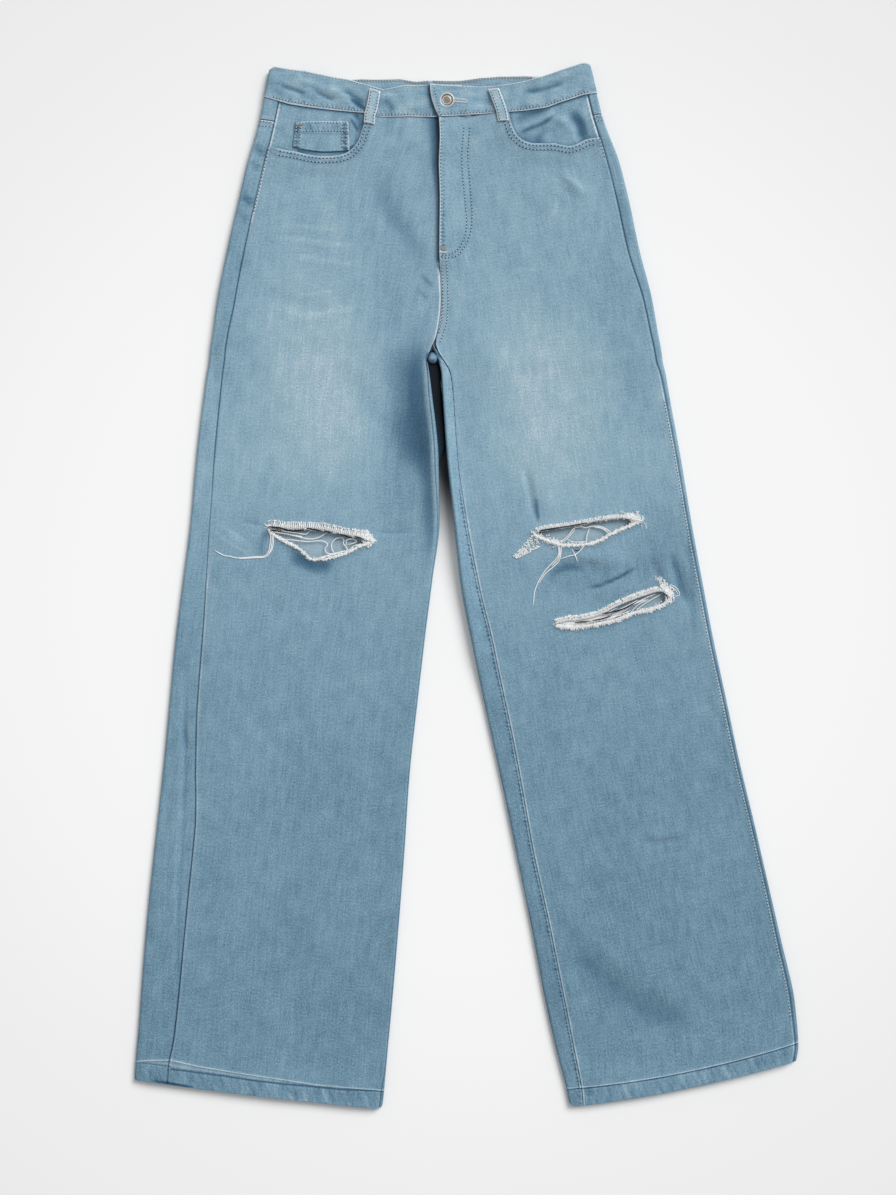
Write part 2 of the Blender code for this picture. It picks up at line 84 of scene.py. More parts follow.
# Waistband and back pockets
BUTTON_END = 32.0         # waistband's right end, past the centre and under the lap
LAP_CLIMB = (1.7, 0.1)    # station where the lapped end starts to climb, and how fast
POCKET_WIDTH = 138.0
POCKET_DEPTH = 138.0
POCKET_POINT = 14.0
POCKET_TAPER = 12.0

# Levels that the code names
BAND_TOP, WAIST, SEAT, RISE, FORK, CROTCH = 0, 1, 4, 7, 8, 9

Section = namedtuple(
    "Section", "outer_x outer_y inner_x inner_y sag outseam inseam lift height"
)
# outer: where the side fold is. inner: centre front, or below the fork the inner fold.
# sag: how far the row dips between them. outseam, inseam: the seams' distance in from the
# folds. lift: height of the back's cloth over the floor. height: of both layers together.
SIDES = {
    "right": [
        (-206, 544.5, -37, 525.5, 8.0, 15.0, 0, 2.1, 4.6),  # band top
        (-212, 511.5, -29, 490, 4.5, 15.2, 0, 2.1, 4.6),  # waist
        (-219, 479, -28, 468, 2.0, 15.8, 0, 2.1, 4.6),  # yoke
        (-228.5, 447.5, -29, 442, 0, 17.5, 0, 1.5, 4.6),  # hip
        (-238.5, 405.5, -28, 405, 0, 17.5, 0, 1.5, 4.6),  # seat
        (-250.5, 353, -28.5, 353, 0, 18.0, 0, 1.5, 4.6),  # fly
        (-261, 300.5, -26.5, 300.5, 0, 18.5, 0, 1.5, 4.6),  # low hip
        (-266, 263.5, -31, 263.5, 0, 16.0, 0, 1.5, 4.8),  # rise
        (-268.5, 248, -37.6, 248, 0, 16.0, 0, 1.0, 5.0),  # fork
        (-270, 234, -40.2, 234, 0, 16.0, 1.4, 0.6, 5.2),  # crotch
        (-272, 224, -38.8, 224, 0, 16.5, 2.2, 0.3, 5.0),  # upper thigh
        (-276, 195.5, -35.2, 195.5, 0, 17.5, 4.4, 0, 4.6),  # thigh
        (-283.5, 132.5, -29, 132.5, 0, 19.0, 4.8, 0, 4.4),  # low thigh
        (-289, 69.5, -28.2, 69.5, 0, 20.0, 2.2, 0, 4.4),  # knee
        (-297, 6.5, -35.8, 6.5, 0, 24.0, 1.2, 0, 4.4),  # below knee
        (-305, -56.5, -44, -58.5, 0, 28.0, 1.2, 0, 4.4),  # upper shin
        (-311, -119.5, -52, -128, 0, 29.0, 1.2, 0, 4.4),  # shin
        (-317, -183, -59.5, -196.5, 0, 33.0, 1.2, 0, 4.4),  # low shin
        (-325, -256.5, -65, -277.5, 0, 40.0, 1.2, 0, 4.4),  # calf
        (-333, -330, -71, -355, 0, 40.5, 1.2, 0, 4.4),  # low calf
        (-339, -398, -77, -426.5, 0, 40.0, 1.2, 0, 4.4),  # ankle
        (-344, -466, -83.5, -496.5, 0, 38.0, 1.2, 0, 4.6),  # low ankle
        (-347, -500, -86.5, -530.5, 0, 35.0, 3.3, 0, 6.0),  # hem line
        (-348, -517.5, -88.5, -548, 1.5, 35.0, 3.3, 0, 6.0),  # hem
    ],
    "left": [
        (129, 548, -37, 525.5, 9.5, 9.5, 0, 2.1, 4.6),  # band top
        (136.5, 514, -29, 490, 5.0, 9.5, 0, 2.1, 4.6),  # waist
        (144.5, 485, -28, 469, 2.0, 9.5, 0, 2.1, 4.6),  # yoke
        (159, 447.5, -29, 442, 0, 12.5, 0, 1.5, 4.6),  # hip
        (170, 405.5, -28, 405, 0, 13.0, 0, 1.5, 4.6),  # seat
        (181, 353, -28.5, 353, 0, 12.5, 0, 1.5, 4.6),  # fly
        (194.5, 300.5, -26.5, 300.5, 0, 9.5, 0, 1.5, 4.6),  # low hip
        (201, 263.5, -31, 263.5, 0, 8.0, 0, 1.5, 4.8),  # rise
        (204, 248, -34.4, 248, 0, 7.5, 3.6, 1.0, 5.0),  # fork
        (206, 234, -29.2, 234, 0, 7.0, 6.6, 0.6, 5.2),  # crotch
        (208.5, 224, -26.8, 224, 0, 6.0, 9.6, 0.3, 5.0),  # upper thigh
        (213.5, 195.5, -25, 195.5, 0, 5.0, 11.5, 0, 4.6),  # thigh
        (225, 132.5, -20.5, 132.5, 0, 4.7, 11.5, 0, 4.4),  # low thigh
        (235.5, 69.5, -13.6, 69.5, 0, 4.2, 13.6, 0, 4.4),  # knee
        (247, 6.5, -6.5, 3, 0, 4.0, 19.0, 0, 4.4),  # below knee
        (259, -56.5, 6.5, -65, 0, 4.0, 22.0, 0, 4.4),  # upper shin
        (272.5, -119.5, 21.5, -136.5, 0, 3.6, 22.0, 0, 4.4),  # shin
        (286, -183, 37.5, -209, 0, 3.6, 20.0, 0, 4.4),  # low shin
        (301, -245.5, 53, -284.5, 0, 3.6, 18.0, 0, 4.4),  # calf
        (315.5, -308.5, 67.5, -355, 0, 3.6, 19.0, 0, 4.4),  # low calf
        (330, -371.5, 81.5, -429.5, 0, 4.5, 20.0, 0, 4.4),  # ankle
        (344, -434.5, 94, -486, 0, 5.0, 18.5, 0, 4.6),  # low ankle
        (348, -480, 105, -528.5, 7.5, 4.0, 16.0, 0, 6.0),  # hem line
        (346, -497.5, 108, -545.5, 5.5, 4.0, 14.5, 0, 6.0),  # hem
    ],
}
HEM_LINE, HEM = len(SIDES["right"]) - 2, len(SIDES["right"]) - 1

# How the waist sways from its even curve, in y, at places along x
SWAY_TOP = [(-206, 0), (-170, 4.5), (-146, 4), (-122, 3), (-104, -0.5), (-87, -4.5), (-66, 0),
            (3, -1), (24, -2), (58, -1), (99, 2), (120, 2.5), (130, 0)]
SWAY_BOTTOM = [(-212, 0), (-186, -2.2), (-168, -2), (-138, -1), (-107, 0), (-91, -2.8),
               (-60, 0), (33, 1.2), (60, -1), (85, -1.5), (99, 1), (123, 3.2), (138, 1.4)]
# The same for the top of the waistband's back, which shows behind the front
SWAY_BACK = [(-206, 0), (-135, 1), (-110, 5.5), (-98, 6), (-70, 7.5), (-53, 4.2), (-29, 5.2),
             (-7, 6), (14, 8.6), (35, 8.6), (60, 5.5), (82, 0.5), (130, 0)]

# Pocket mouths, from the outseam to the waistband
MOUTHS = {
    "right": [(-199, 458.6), (-191, 456.5), (-179.5, 454.6), (-166, 451.5), (-149.3, 449.8),
              (-132.5, 451.2), (-122.6, 455.4), (-114.2, 464.9), (-109.2, 478.4),
              (-106.7, 487), (-105.7, 496)],
    "left": [(137, 469), (126, 467.4), (117.4, 463.2), (109, 460.4), (100.6, 461.4),
             (92, 463.2), (79, 463.2), (69, 463.4), (60.5, 465.9), (53, 471.8), (48.8, 479.3),
             (46, 488), (44.5, 496)],
}

Rip = namedtuple("Rip", "side upper lower")
# Edges of each rip, from its first end to its second
RIPS = {
    "right_knee": Rip(
        "right",
        [(-209, 61), (-203, 61.8), (-190, 60), (-171, 60), (-150, 58.8), (-129, 54),
         (-109, 50.2), (-100, 46.5)],
        [(-209, 61), (-203, 55), (-189.5, 46.7), (-178, 41), (-168, 33), (-163, 28.8),
         (-150, 28.4), (-136, 31.5), (-124.5, 35.8), (-115, 40.5), (-100, 46.5)],
    ),
    "left_knee": Rip(
        "left",
        [(71, 55), (80, 59), (109, 63), (138, 68.3), (162, 71), (172, 70), (180, 68)],
        [(71, 55), (76, 51.5), (91, 46.2), (101, 43.2), (118, 43.6), (131, 45.2), (142, 49.4),
         (150, 54.4), (162, 60), (174, 65), (180, 68)],
    ),
    "left_shin": Rip(
        "left",
        [(92, -40), (105, -36.8), (118, -35.7), (138, -31), (160, -20), (179, -12.5),
         (198, -6.3), (207, -6), (213, -12)],
        [(92, -40), (105, -42.5), (123, -41.5), (153, -35.7), (175, -27.5), (190, -24.5),
         (206, -18.4), (213, -12)],
    ),
}
RIP_REACH = 40.0          # how far from a rip the cloth's grid bends round it

Crease = namedtuple("Crease", "height width points")


def creases(*rows):
    """Creases, each given as its height, its width and the points along it."""
    return [Crease(height, width, points) for height, width, *points in rows]


# Folds laid in the fronts; a negative height is a trough. Width is of one flank.
CREASES = creases(
    # right leg: the second pressed line beside the outseam, and its diagonal
    (-1.1, 2.6, (-292, -34), (-295.5, -109), (-295.5, -177), (-297.5, -234), (-300, -282),
     (-303.5, -350), (-303, -418), (-306, -463)),
    (0.8, 6, (-301, -60), (-302, -180), (-306, -300), (-311, -420)),
    (-1.0, 4, (-305, -128), (-289, -180)),
    # right leg: seat and hip
    (-0.5, 7, (-222, 311), (-180, 296), (-133, 287)),
    (-0.5, 12, (-104, 448), (-88, 401), (-60, 361), (-44, 318)),
    (1.0, 22, (-60, 262), (-120, 205)),
    (-0.9, 20, (-70, 190), (-62, 150), (-52, 112)),
    # right knee
    (-0.9, 2.2, (-97, 55.5), (-75, 55), (-52, 59)),
    (-0.8, 2.4, (-240, 69), (-228, 66), (-209, 62)),
    (0.5, 4, (-257, 57), (-240, 44), (-222, 34)),
    (-1.0, 9, (-196, 38), (-178, 28), (-160, 20), (-138, 22)),
    # left leg: hip and fork
    (-0.8, 5, (91, 428), (104, 415), (118, 401)),
    (0.7, 5, (96, 436), (112, 421), (126, 406)),
    (1.0, 22, (-12, 258), (20, 240), (50, 214)),
    # left knee, between its rips and above them
    (-1.3, 3.2, (60, 128), (66, 105), (70, 82), (76, 60)),
    (0.8, 8, (78, 120), (84, 95), (90, 70)),
    (-0.9, 6, (86, 17), (106, 22), (130, 20), (150, 14)),
    (1.2, 8, (96, 28), (130, 30), (165, 24)),
    (-1.1, 2.4, (184, 20.5), (172, 16), (160, 9), (140, 1), (122, -2)),
    (1.1, 9, (186, 8), (160, -4), (128, -14)),
    (-1.3, 4.5, (192, 32), (198, 18), (205, 2)),
    (-1.4, 5.5, (212, 40), (219, 20), (226, 0), (232, -26)),
    (0.9, 8, (204, 42), (211, 18), (218, -6)),
    # left shin and hem
    (1.2, 6, (184, -262), (208, -262), (233, -258)),
    (-1.0, 3.4, (184, -269), (210, -268), (233, -263.5)),
    (-0.9, 3, (199, -275), (216, -278.5), (233, -276)),
    (-0.6, 12, (124, -293), (134, -312), (143, -329)),
    (-2.0, 17, (95, -350), (116, -383), (140, -408), (181, -439), (222, -455), (258, -453)),
    (1.1, 20, (120, -350), (150, -385), (190, -412), (240, -425)),
    # right shin
    (-0.5, 3, (-118, -283), (-104, -282), (-90, -283)),
)
# The waistband's own folds
BAND_CREASES = creases(
    (-1.8, 2.4, (-126, 512), (-113, 503.6), (-103, 495.5)),
    (-1.1, 2.6, (-200, 525), (-182, 520), (-163, 513)),
    (-1.0, 2.6, (-162, 520), (-149, 513), (-134, 507)),
    (-1.1, 2.9, (-134, 521), (-118, 512), (-102, 503)),
    (0.8, 4.0, (-186, 535), (-165, 527), (-146, 519)),
    (0.8, 4.0, (-150, 526), (-130, 514), (-112, 502)),
    (-0.8, 4.0, (-88, 512), (-80, 502), (-76, 494)),
    (0.7, 5.0, (-70, 518), (-62, 506), (-56, 496)),
    (-1.0, 3.0, (52, 516), (80, 520), (110, 530)),
    (0.5, 4.0, (60, 524), (88, 528), (118, 540)),
)


CREASE_DEPTH = 1.6        # how much deeper every fold is pressed than its table says
# Thick folds under the fork: the left leg's, the right leg's, and the left one's lower end
BULK = creases(
    (6.0, 8, (-33, 292), (-34, 262), (-31, 232), (-26, 200), (-22, 160), (-17, 110), (-11, 60),
     (-4, 10), (2, -30)),
    (4.5, 7, (-42, 262), (-42, 240), (-40, 212), (-36, 175), (-34, 130), (-32, 90), (-34, 50)),
    (5.5, 9, (-20, 140), (-11, 60), (-4, 10), (8, -60), (22, -130)),
)


# Where the cloth lies in deep shade beside a standing fold, on the fronts
SHADE = creases(
    (0.72, 10, (-50, 300), (-51, 262), (-52, 225), (-50, 190), (-46, 150), (-41, 110), (-38, 70),
     (-37, 20), (-37, -20)),
    (0.45, 19, (-68, 275), (-66, 220), (-58, 160), (-50, 100)),
    (0.26, 14, (-104, 452), (-84.5, 401), (-56, 361), (-42, 325), (-36, 290)),
    (0.45, 2.6, (-50, 327), (-41, 319), (-33, 311)),
    (0.4, 2.6, (-54, 313), (-45, 304), (-38, 298)),
    (0.5, 4, (-209, 62), (-214, 46), (-215, 26)),
    (0.55, 7, (-190, 36), (-172, 24), (-156, 19), (-132, 24)),
    (0.7, 2.4, (73, 98), (74, 82), (76, 64)),
    (0.6, 5, (82, 8), (98, 17), (112, 20), (128, 14)),
    (0.75, 1.8, (186, 22.5), (172, 16), (160, 9), (140, 1), (118, -4)),
    (0.4, 5, (233, 92), (235, 40), (238, -20), (240, -80)),
    (0.4, 5, (212, 44), (221, 14), (230, -24)),
)
# Fine pale lines worn along the sharpest creases of the seat's front
WHISKERS = creases(
    (0.19, 2.2, (-206, 364), (-172, 363), (-146, 359), (-122, 357), (-106, 358)),
    (0.18, 2.2, (-190, 344.6), (-165, 343.7), (-146, 340.6), (-122, 337.8), (-106, 339)),
    (0.13, 2.2, (-214, 370), (-186, 376.7), (-158, 375), (-132, 373.7), (-124, 369)),
    (0.15, 2.4, (-198, 295), (-177, 285), (-162, 283), (-132, 289.8), (-102, 290)),
    (0.18, 1.7, (-181, 305), (-158, 306.3), (-132, 310)),
    (0.26, 1.5, (85.6, 429.5), (98, 424), (109.7, 414.8)),
    (0.2, 1.5, (96, 429.5), (108.7, 426.3), (127.6, 411.6)),
    (0.24, 1.5, (96, 406), (93, 395), (92, 386)),
    (0.14, 1.7, (46, 332), (64, 330), (81, 334)),
    (0.24, 1.5, (-268, 62), (-252, 48), (-236, 38), (-222, 31)),
    (0.2, 1.5, (-258, 66), (-240, 52), (-224, 42)),
)
# Pale twists worn across the hems, and painted shade in their hollows and along the hems' lower
# edges
HEM_WORN = creases(
    (0.5, 1.5, (-151.8, -524), (-149.3, -532), (-145, -543)),
    (0.4, 1.5, (-172, -525), (-169.4, -534), (-165, -543.5)),
    (0.3, 1.6, (-187, -529), (-184, -535), (-180, -541)),
    (0.25, 1.8, (-108, -529), (-103, -541)),
    (0.25, 2.0, (-232, -521), (-224, -532)),
    (0.36, 2.0, (163, -517.5), (166.6, -528), (173.5, -538.5)),
    (0.22, 2.0, (172, -516), (181, -527)),
    (0.32, 2.1, (267.5, -498.5), (271.6, -508.5), (281, -516)),
    (0.3, 2.1, (245, -505), (250, -515.4), (256.5, -522.5)),
    (0.24, 2.1, (236.5, -507), (240.8, -515.4), (246.5, -522)),
    (0.2, 2.0, (290, -496), (296.5, -507)),
)
HEM_DARK = creases(
    (1.5, 1.2, (-336, -516.4), (-318, -519.4), (-302, -522), (-280, -525.6)),
    (0.5, 2.2, (-332, -500), (-330.5, -512), (-318, -517)),
    (0.35, 5, (-226, -524), (-222, -536)),
    (0.35, 5, (-179, -524), (-174, -540)),
    (0.35, 5, (-160, -526), (-156, -542)),
    (0.35, 6, (-128, -527), (-122, -543)),
    (0.3, 4, (-103, -527), (-98, -543)),
    (0.5, 4.5, (125, -522), (131, -536)),
    (0.35, 4.5, (146, -520), (152, -536)),
    (0.3, 7, (192, -514), (200, -530)),
    (0.4, 6, (254, -500), (264, -518)),
    (0.4, 4, (305, -493), (317, -503)),
)
# Painted shade of soft wrinkles in the strips that the backs show beside the outseams
STRIP_SHADE = creases(
    (0.6, 5, (-224, 464), (-216, 455), (-211, 448)),
    (0.5, 4, (-228, 446), (-220, 439), (-215, 434)),
    (0.7, 5, (-238, 412), (-228, 403), (-222, 396)),
    (0.4, 6, (-242, 397), (-234, 388), (-228, 379)),
    (0.3, 7, (152, 430), (164, 390), (173, 340)),
)
# How wide the lap and the fly throw their shade, by y
FLY_SHADE = [(352, 2.4), (380, 2.8), (416, 4.4), (458, 8.5), (482, 10.5)]
# How pale the outseams are worn, and how much painted shade lies in their grooves, by level
OUTSEAM_PALE = {
    "right": [(1, 1.0), (4.2, 1.0), (4.7, 0.15), (13.4, 0.1), (14, 0.5), (16, 0.45), (23, 0.3)],
    "left": [(1, 1.0), (2.6, 0.9), (3.2, 0.2), (10, 0.2), (11, 0.7), (16, 0.7), (17, 0.3),
             (23, 0.4)],
}
OUTSEAM_DARK = {
    "right": [(1, 0.6), (4.2, 0.5), (5.0, 0.8), (12.0, 0.7), (12.6, 0.1), (13.8, 0.1),
              (14.6, 0.6), (HEM_LINE - 0.3, 0.9), (HEM_LINE, 0.4), (HEM, 0.3)],
    "left": [(1, 0.8), (2.4, 0.5), (4, 0.5), (6, 0.75), (10, 0.7), (11.2, 0.3), (23, 0.3)],
}
FLY_EDGE_ROW = 1.7        # from the fly's edge to the row of stitches along it
# The two rows that curve round the fly's lower end, and the row beside the rise
J_ROWS = [
    [(-2.6, 482), (-5, 449), (-3.2, 420), (-0.5, 391), (-0.5, 373), (-6, 356), (-16.5, 347),
     (-27, 345.6)],
    [(3.7, 482), (1.6, 449), (3.7, 420), (5.8, 391), (4.7, 373), (-0.5, 358), (-9, 346),
     (-19.5, 343.2), (-27, 343.4)],
]
RISE_ROWS = [(-26.4, 342), (-25.2, 321), (-24.6, 295), (-26.8, 273), (-33, 256)]
KNOB = (-35.2, 238.5)     # where the four seams of the fork meet
# How pale the fly's edge, the rise and the inseam show, by level
INNER_PALE = {
    "right": [(RISE, 1), (FORK, 0.7), (CROTCH, 0.3), (11, 0.3), (12.4, 0.35), (13, 0.15)],
    "left": [(CROTCH, 0.6), (10, 0.3), (11, 0.15), (12.4, 0.2), (13, 0.65)],
}
# How much painted shade lies in the inseam's groove, by level
INSEAM_DARK = [(5, 0.3), (8, 0.9), (9.4, 1.1), (10.2, 0.5), (11, 0.1), (23, 0.2)]


# Numbers

def lerp(a, b, share):
    return a + (b - a) * share


def smooth(value):
    value = np.clip(value, 0.0, 1.0)
    return value * value * (3 - 2 * value)


def bump(distance, width):
    """1 at no distance, falling softly to nothing past twice the width."""
    return np.exp(-(distance / width) ** 2)


def read(table, place):
    """What a table of places and values says at a place."""
    return np.interp(place, *zip(*table))


def steps(count):
    return np.linspace(0, 1, count + 1)


def through(values, level):
    """A value at a level, on a smooth line through a column of the table."""
    rises = np.diff(values)
    before, after = rises[:-1], rises[1:]
    same_way = before * after > 0
    inner = np.where(same_way, 2 * before * after / np.where(same_way, before + after, 1), 0)
    slopes = np.concatenate((rises[:1], inner, rises[-1:]))
    low = np.clip(np.floor(level), 0, len(values) - 2).astype(int)
    t = level - low
    rise, start, end = rises[low], slopes[low], slopes[low + 1]
    return values[low] + t * (start + t * (3 * rise - 2 * start - end
                                           + t * (start + end - 2 * rise)))


def curve(points, pitch=2.0):
    """Points every pitch millimetres along a smooth line through the given ones."""
    points = np.array(points, float)
    ends = [2 * points[0] - points[1], *points, 2 * points[-1] - points[-2]]
    fine = []
    for a, b, c, d in zip(ends, ends[1:], ends[2:], ends[3:]):
        for t in np.linspace(0, 1, 12, endpoint=False):
            fine.append(b + 0.5 * t * (c - a + t * (2 * a - 5 * b + 4 * c - d
                                                    + t * (3 * (b - c) + d - a))))
    fine.append(points[-1])
    return spaced(np.array(fine), pitch)


def spaced(points, pitch):
    """Points at even distances along a line of points."""
    run = np.concatenate(([0], np.cumsum(np.linalg.norm(np.diff(points, axis=0), axis=1))))
    even = np.linspace(0, run[-1], max(int(round(run[-1] / pitch)), 1) + 1)
    return np.stack([np.interp(even, run, values) for values in points.T], axis=1)


def beside(points, offset):
    """The same line moved to its left, or to its right where the offset is negative."""
    heading = np.gradient(points[:, :2], axis=0)
    heading /= np.linalg.norm(heading, axis=1)[:, None]
    moved = points.copy()
    moved[:, 0] -= heading[:, 1] * offset
    moved[:, 1] += heading[:, 0] * offset
    return moved


def nearest(line, x, y):
    """Distance from places to a line, and the share of the line where each comes nearest."""
    distance, share = np.full(np.shape(x), FAR), np.zeros(np.shape(x))
    for i, ((x1, y1), (x2, y2)) in enumerate(zip(line, line[1:])):
        run_x, run_y = x2 - x1, y2 - y1
        t = ((x - x1) * run_x + (y - y1) * run_y) / (run_x ** 2 + run_y ** 2)
        t = np.clip(t, 0, 1)
        off = np.hypot(x - x1 - t * run_x, y - y1 - t * run_y)
        closer = off < distance
        distance = np.where(closer, off, distance)
        share = np.where(closer, (i + t) / (len(line) - 1), share)
    return distance, share


def ripple(x, y, seed, period, count=7):
    """Even random waves about -1 to 1 high and a period long."""
    chance = random.Random(seed)
    total = 0.0
    for _ in range(count):
        turn = chance.uniform(0, math.pi)
        pitch = 2 * math.pi / (period * chance.uniform(0.7, 1.5))
        phase = chance.uniform(0, 2 * math.pi)
        total = total + np.sin((x * math.cos(turn) + y * math.sin(turn)) * pitch + phase)
    return total / math.sqrt(count)


# Rings

Ring = namedtuple("Ring", Section._fields + ("width", "tube"))
COLUMNS = {side: [np.array(column) for column in zip(*rows)] for side, rows in SIDES.items()}


def ring_at(side, level):
    """The ring at a level; tube is 0 on the trunk and 1 where it is closed by an inner fold."""
    section = Section(*[through(values, level) for values in COLUMNS[side]])
    width = np.hypot(section.inner_x - section.outer_x, section.inner_y - section.outer_y)
    return Ring(*section, width, np.clip(level - RISE, 0, 1))


def along_cloth(inset):
    """Distance along the cloth from a fold's crest to a seam seen this far in from it."""
    near = FOLD_RADIUS * np.arccos(np.clip(1 - inset / FOLD_RADIUS, 0, 1))
    return np.where(inset < FOLD_RADIUS, near, QUARTER + inset - FOLD_RADIUS)


def front_start(ring):
    """Where the front begins, at the outseam."""
    return along_cloth(ring.outseam) + SEAM_GAP / 2


def centre_place(ring):
    """Place of the centre front or back on a ring of the trunk."""
    return QUARTER + ring.width - FOLD_RADIUS


def inner_end(ring, way):
    """Where the front or the back ends, counted along it: at the centre, or at the inseam."""
    crest = ring.width - 2 * FOLD_RADIUS + 2 * QUARTER
    at_inseam = crest - way * along_cloth(ring.inseam)
    return lerp(centre_place(ring), at_inseam, ring.tube) - SEAM_GAP / 2


def top_height(ring, across):
    """Height of the front run: high at the folds, low between them."""
    sink = smooth((across - FOLD_RADIUS) / FOLD_BLEND)
    inner = smooth((ring.width - FOLD_RADIUS - across) / FOLD_BLEND)
    sink = sink * lerp(1.0, inner, ring.tube)
    return lerp(2 * FOLD_RADIUS, ring.height + SOFTNESS, sink)


def sway(x, level, top=SWAY_TOP):
    """How far the waist strays from its even curve."""
    above = read(top, x)
    below = read(SWAY_BOTTOM, x)
    return np.where(level < WAIST, lerp(above, below, np.clip(level, 0, 1)),
                    below * smooth(2 - level))


def lay(side, level, place, depth=0.0, top=SWAY_TOP):
    """x, y and z on a ring, depth inside the cloth's outer face, and 1 where it lies flat on
    top."""
    ring = ring_at(side, level)
    width, radius = ring.width, FOLD_RADIUS
    over = place > 0
    run = np.abs(place) - QUARTER
    past = run - (width - 2 * radius)

    turn = place / radius
    on_fold = run < 0
    across = np.where(on_fold, radius - (radius - depth) * np.cos(turn), radius + run)
    height = np.where(over, top_height(ring, radius + run) - depth, depth)
    height = np.where(on_fold, radius + (radius - depth) * np.sin(turn), height)

    angle = (math.pi / 2 - past / radius) * np.where(over, 1, -1)
    round_across = width - radius + (radius - depth) * np.cos(angle)
    round_height = radius + (radius - depth) * np.sin(angle)
    beyond = past > 2 * QUARTER
    back_across = width - radius - (past - 2 * QUARTER)
    back_height = np.where(over, depth, top_height(ring, back_across) - depth)
    round_across = np.where(beyond, back_across, round_across)
    round_height = np.where(beyond, back_height, round_height)
    inner = np.where(past > 0, ring.tube, 0)
    across, height = lerp(across, round_across, inner), lerp(height, round_height, inner)

    share = np.minimum(across / width, 1)
    x = lerp(ring.outer_x, ring.inner_x, across / width)
    y = lerp(ring.outer_y, ring.inner_y, share) - 4 * ring.sag * share * (1 - share)
    y = y + sway(x, level, top)
    on_top = over & ~(beyond & (ring.tube > 0)) | (~over & beyond & (ring.tube > 0))
    flat = smooth((across - radius) / 8) * lerp(1.0, smooth((width - radius - across) / 8),
                                                ring.tube)
    return x, y, ring.lift + height, np.where(on_top, flat, 0.0)


def line_at(side, level, place, depth=0.0, top=SWAY_TOP):
    """x and y of places on a ring, as a line of points."""
    level = np.full(np.shape(place), level, float)
    return np.stack(lay(side, level, place, depth, top)[:2], axis=1)


def below_waist(level):
    """Distance down from the waistband's lower edge, near it."""
    return (level - WAIST) * LEVEL_PITCH


def settle(side, x, y):
    """Level and place of the front's cloth at x and y."""
    rows = COLUMNS[side]
    level = np.interp(-np.asarray(y, float), -rows[1], range(len(rows[1])))
    for _ in range(14):
        found = []
        for trial in (level, level + 0.02):
            ring = ring_at(side, trial)
            share = (x - ring.outer_x) / (ring.inner_x - ring.outer_x)
            line = lerp(ring.outer_y, ring.inner_y, share) - 4 * ring.sag * share * (1 - share)
            found.append(line + sway(x, trial))
        level = np.clip(level - (found[0] - y) / (found[1] - found[0]) * 0.02, -0.2, HEM)
    return level, QUARTER + share * ring.width - FOLD_RADIUS


def down(side, level):
    """Distance down the middle of the leg from the waistband's top."""
    rows = COLUMNS[side]
    middle = [(rows[0] + rows[2]) / 2, (rows[1] + rows[3]) / 2]
    run = np.hypot(np.diff(middle[0]), np.diff(middle[1]))
    return np.interp(level, range(len(rows[0])), np.concatenate(([0], np.cumsum(run))))


def level_of(side, run):
    """Level at a distance down the leg, from the seat on."""
    levels = np.linspace(SEAT, HEM, 400)
    return np.interp(run, down(side, levels), levels)


def relief(folds, x, y):
    """Height that folds add at a place."""
    total = 0.0
    for crease in folds:
        distance, share = nearest(curve(crease.points, 6), x, y)
        ends = smooth(share / 0.3) * smooth((1 - share) / 0.3)
        total = total + crease.height * bump(distance, crease.width) * ends
    return total


def drape(x, y):
    """Folds and soft waves of the fronts."""
    waves = 0.34 * ripple(x, y, 3, 150) + 0.2 * ripple(x, y, 5, 60)
    return CREASE_DEPTH * relief(CREASES, x, y) + waves * smooth((480 - y) / 60)


def bulk(x, y, z):
    """How much the folds under the fork stand up, as thick seams meet there."""
    return relief(BULK, x, y) * np.clip(z / 6, 0, 1)


def hollows(folds, x, y):
    """How much painted shade troughs get."""
    return np.clip(-0.24 * relief(folds, x, y), 0, 0.6)


# How faded each place is, from 0 where the denim is deepest to 1 where it is nearly white, with one
# patch of painted shade

FADE_DOWN = [(-548, 0.24), (-400, 0.26), (-200, 0.30), (-60, 0.38), (40, 0.49), (120, 0.57),
             (300, 0.54), (430, 0.53), (548, 0.50)]
# Where it is paler or deeper than that: x, y, how far across and along, and by how much
PATCHES = [
    (-155, 215, 62, 120, 0.20),  # right thigh
    (-140, 205, 30, 60, 0.05),
    (85, 195, 62, 105, 0.22),  # left thigh
    # painted shade: the inside of the right thigh lies deeper where the standing fold beside it
    # shades it
    (-66, 165, 24, 100, -0.30),  # inside of the right thigh
    (10, 170, 26, 90, -0.06),
    (-80, 385, 26, 70, -0.10),  # right hip, beside the fly
    (-100, 300, 60, 40, -0.05),
    (-245, 330, 18, 120, -0.12),  # strip beside the right outseam
    (-306, -260, 22, 130, 0.12),
    (120, 320, 60, 30, -0.06),
    (175, 220, 22, 60, -0.10),  # outside of the left thigh
    (-150, 100, 70, 22, -0.06),
    (205, 40, 26, 45, -0.18),  # left knee, outside of its rips
    (130, 12, 62, 22, -0.16),
    (40, 60, 26, 60, -0.05),
    (-185, 20, 50, 24, -0.10),
    (-225, 60, 22, 40, -0.06),
    (150, -400, 90, 60, -0.03),
    (-230, -200, 40, 160, 0.04),
    (142, 290, 26, 34, -0.09),
    (-13.5, 393, 4, 16, 0.13),
    (-10, 362, 9, 9, -0.07),
    (200, -518, 110, 17, 0.07),
    (-230, -522, 110, 17, 0.03),
    (60, 250, 40, 30, 0.03),
]


def faded(x, y):
    total = read(FADE_DOWN, y)
    for middle_x, middle_y, across, along, amount in PATCHES:
        off = ((x - middle_x) / across) ** 2 + ((y - middle_y) / along) ** 2
        total = total + amount * np.exp(-off)
    blotches = 0.02 + 0.03 * smooth((y - 440) / 40)
    streaks = 0.02 * smooth((y - 40) / 200)
    return (total + blotches * (ripple(x, y, 21, 34) + ripple(x, y * 1.4, 22, 15))
            + streaks * (ripple(x, y * 0.15, 24, 9) + ripple(x, y * 0.4, 25, 26)))


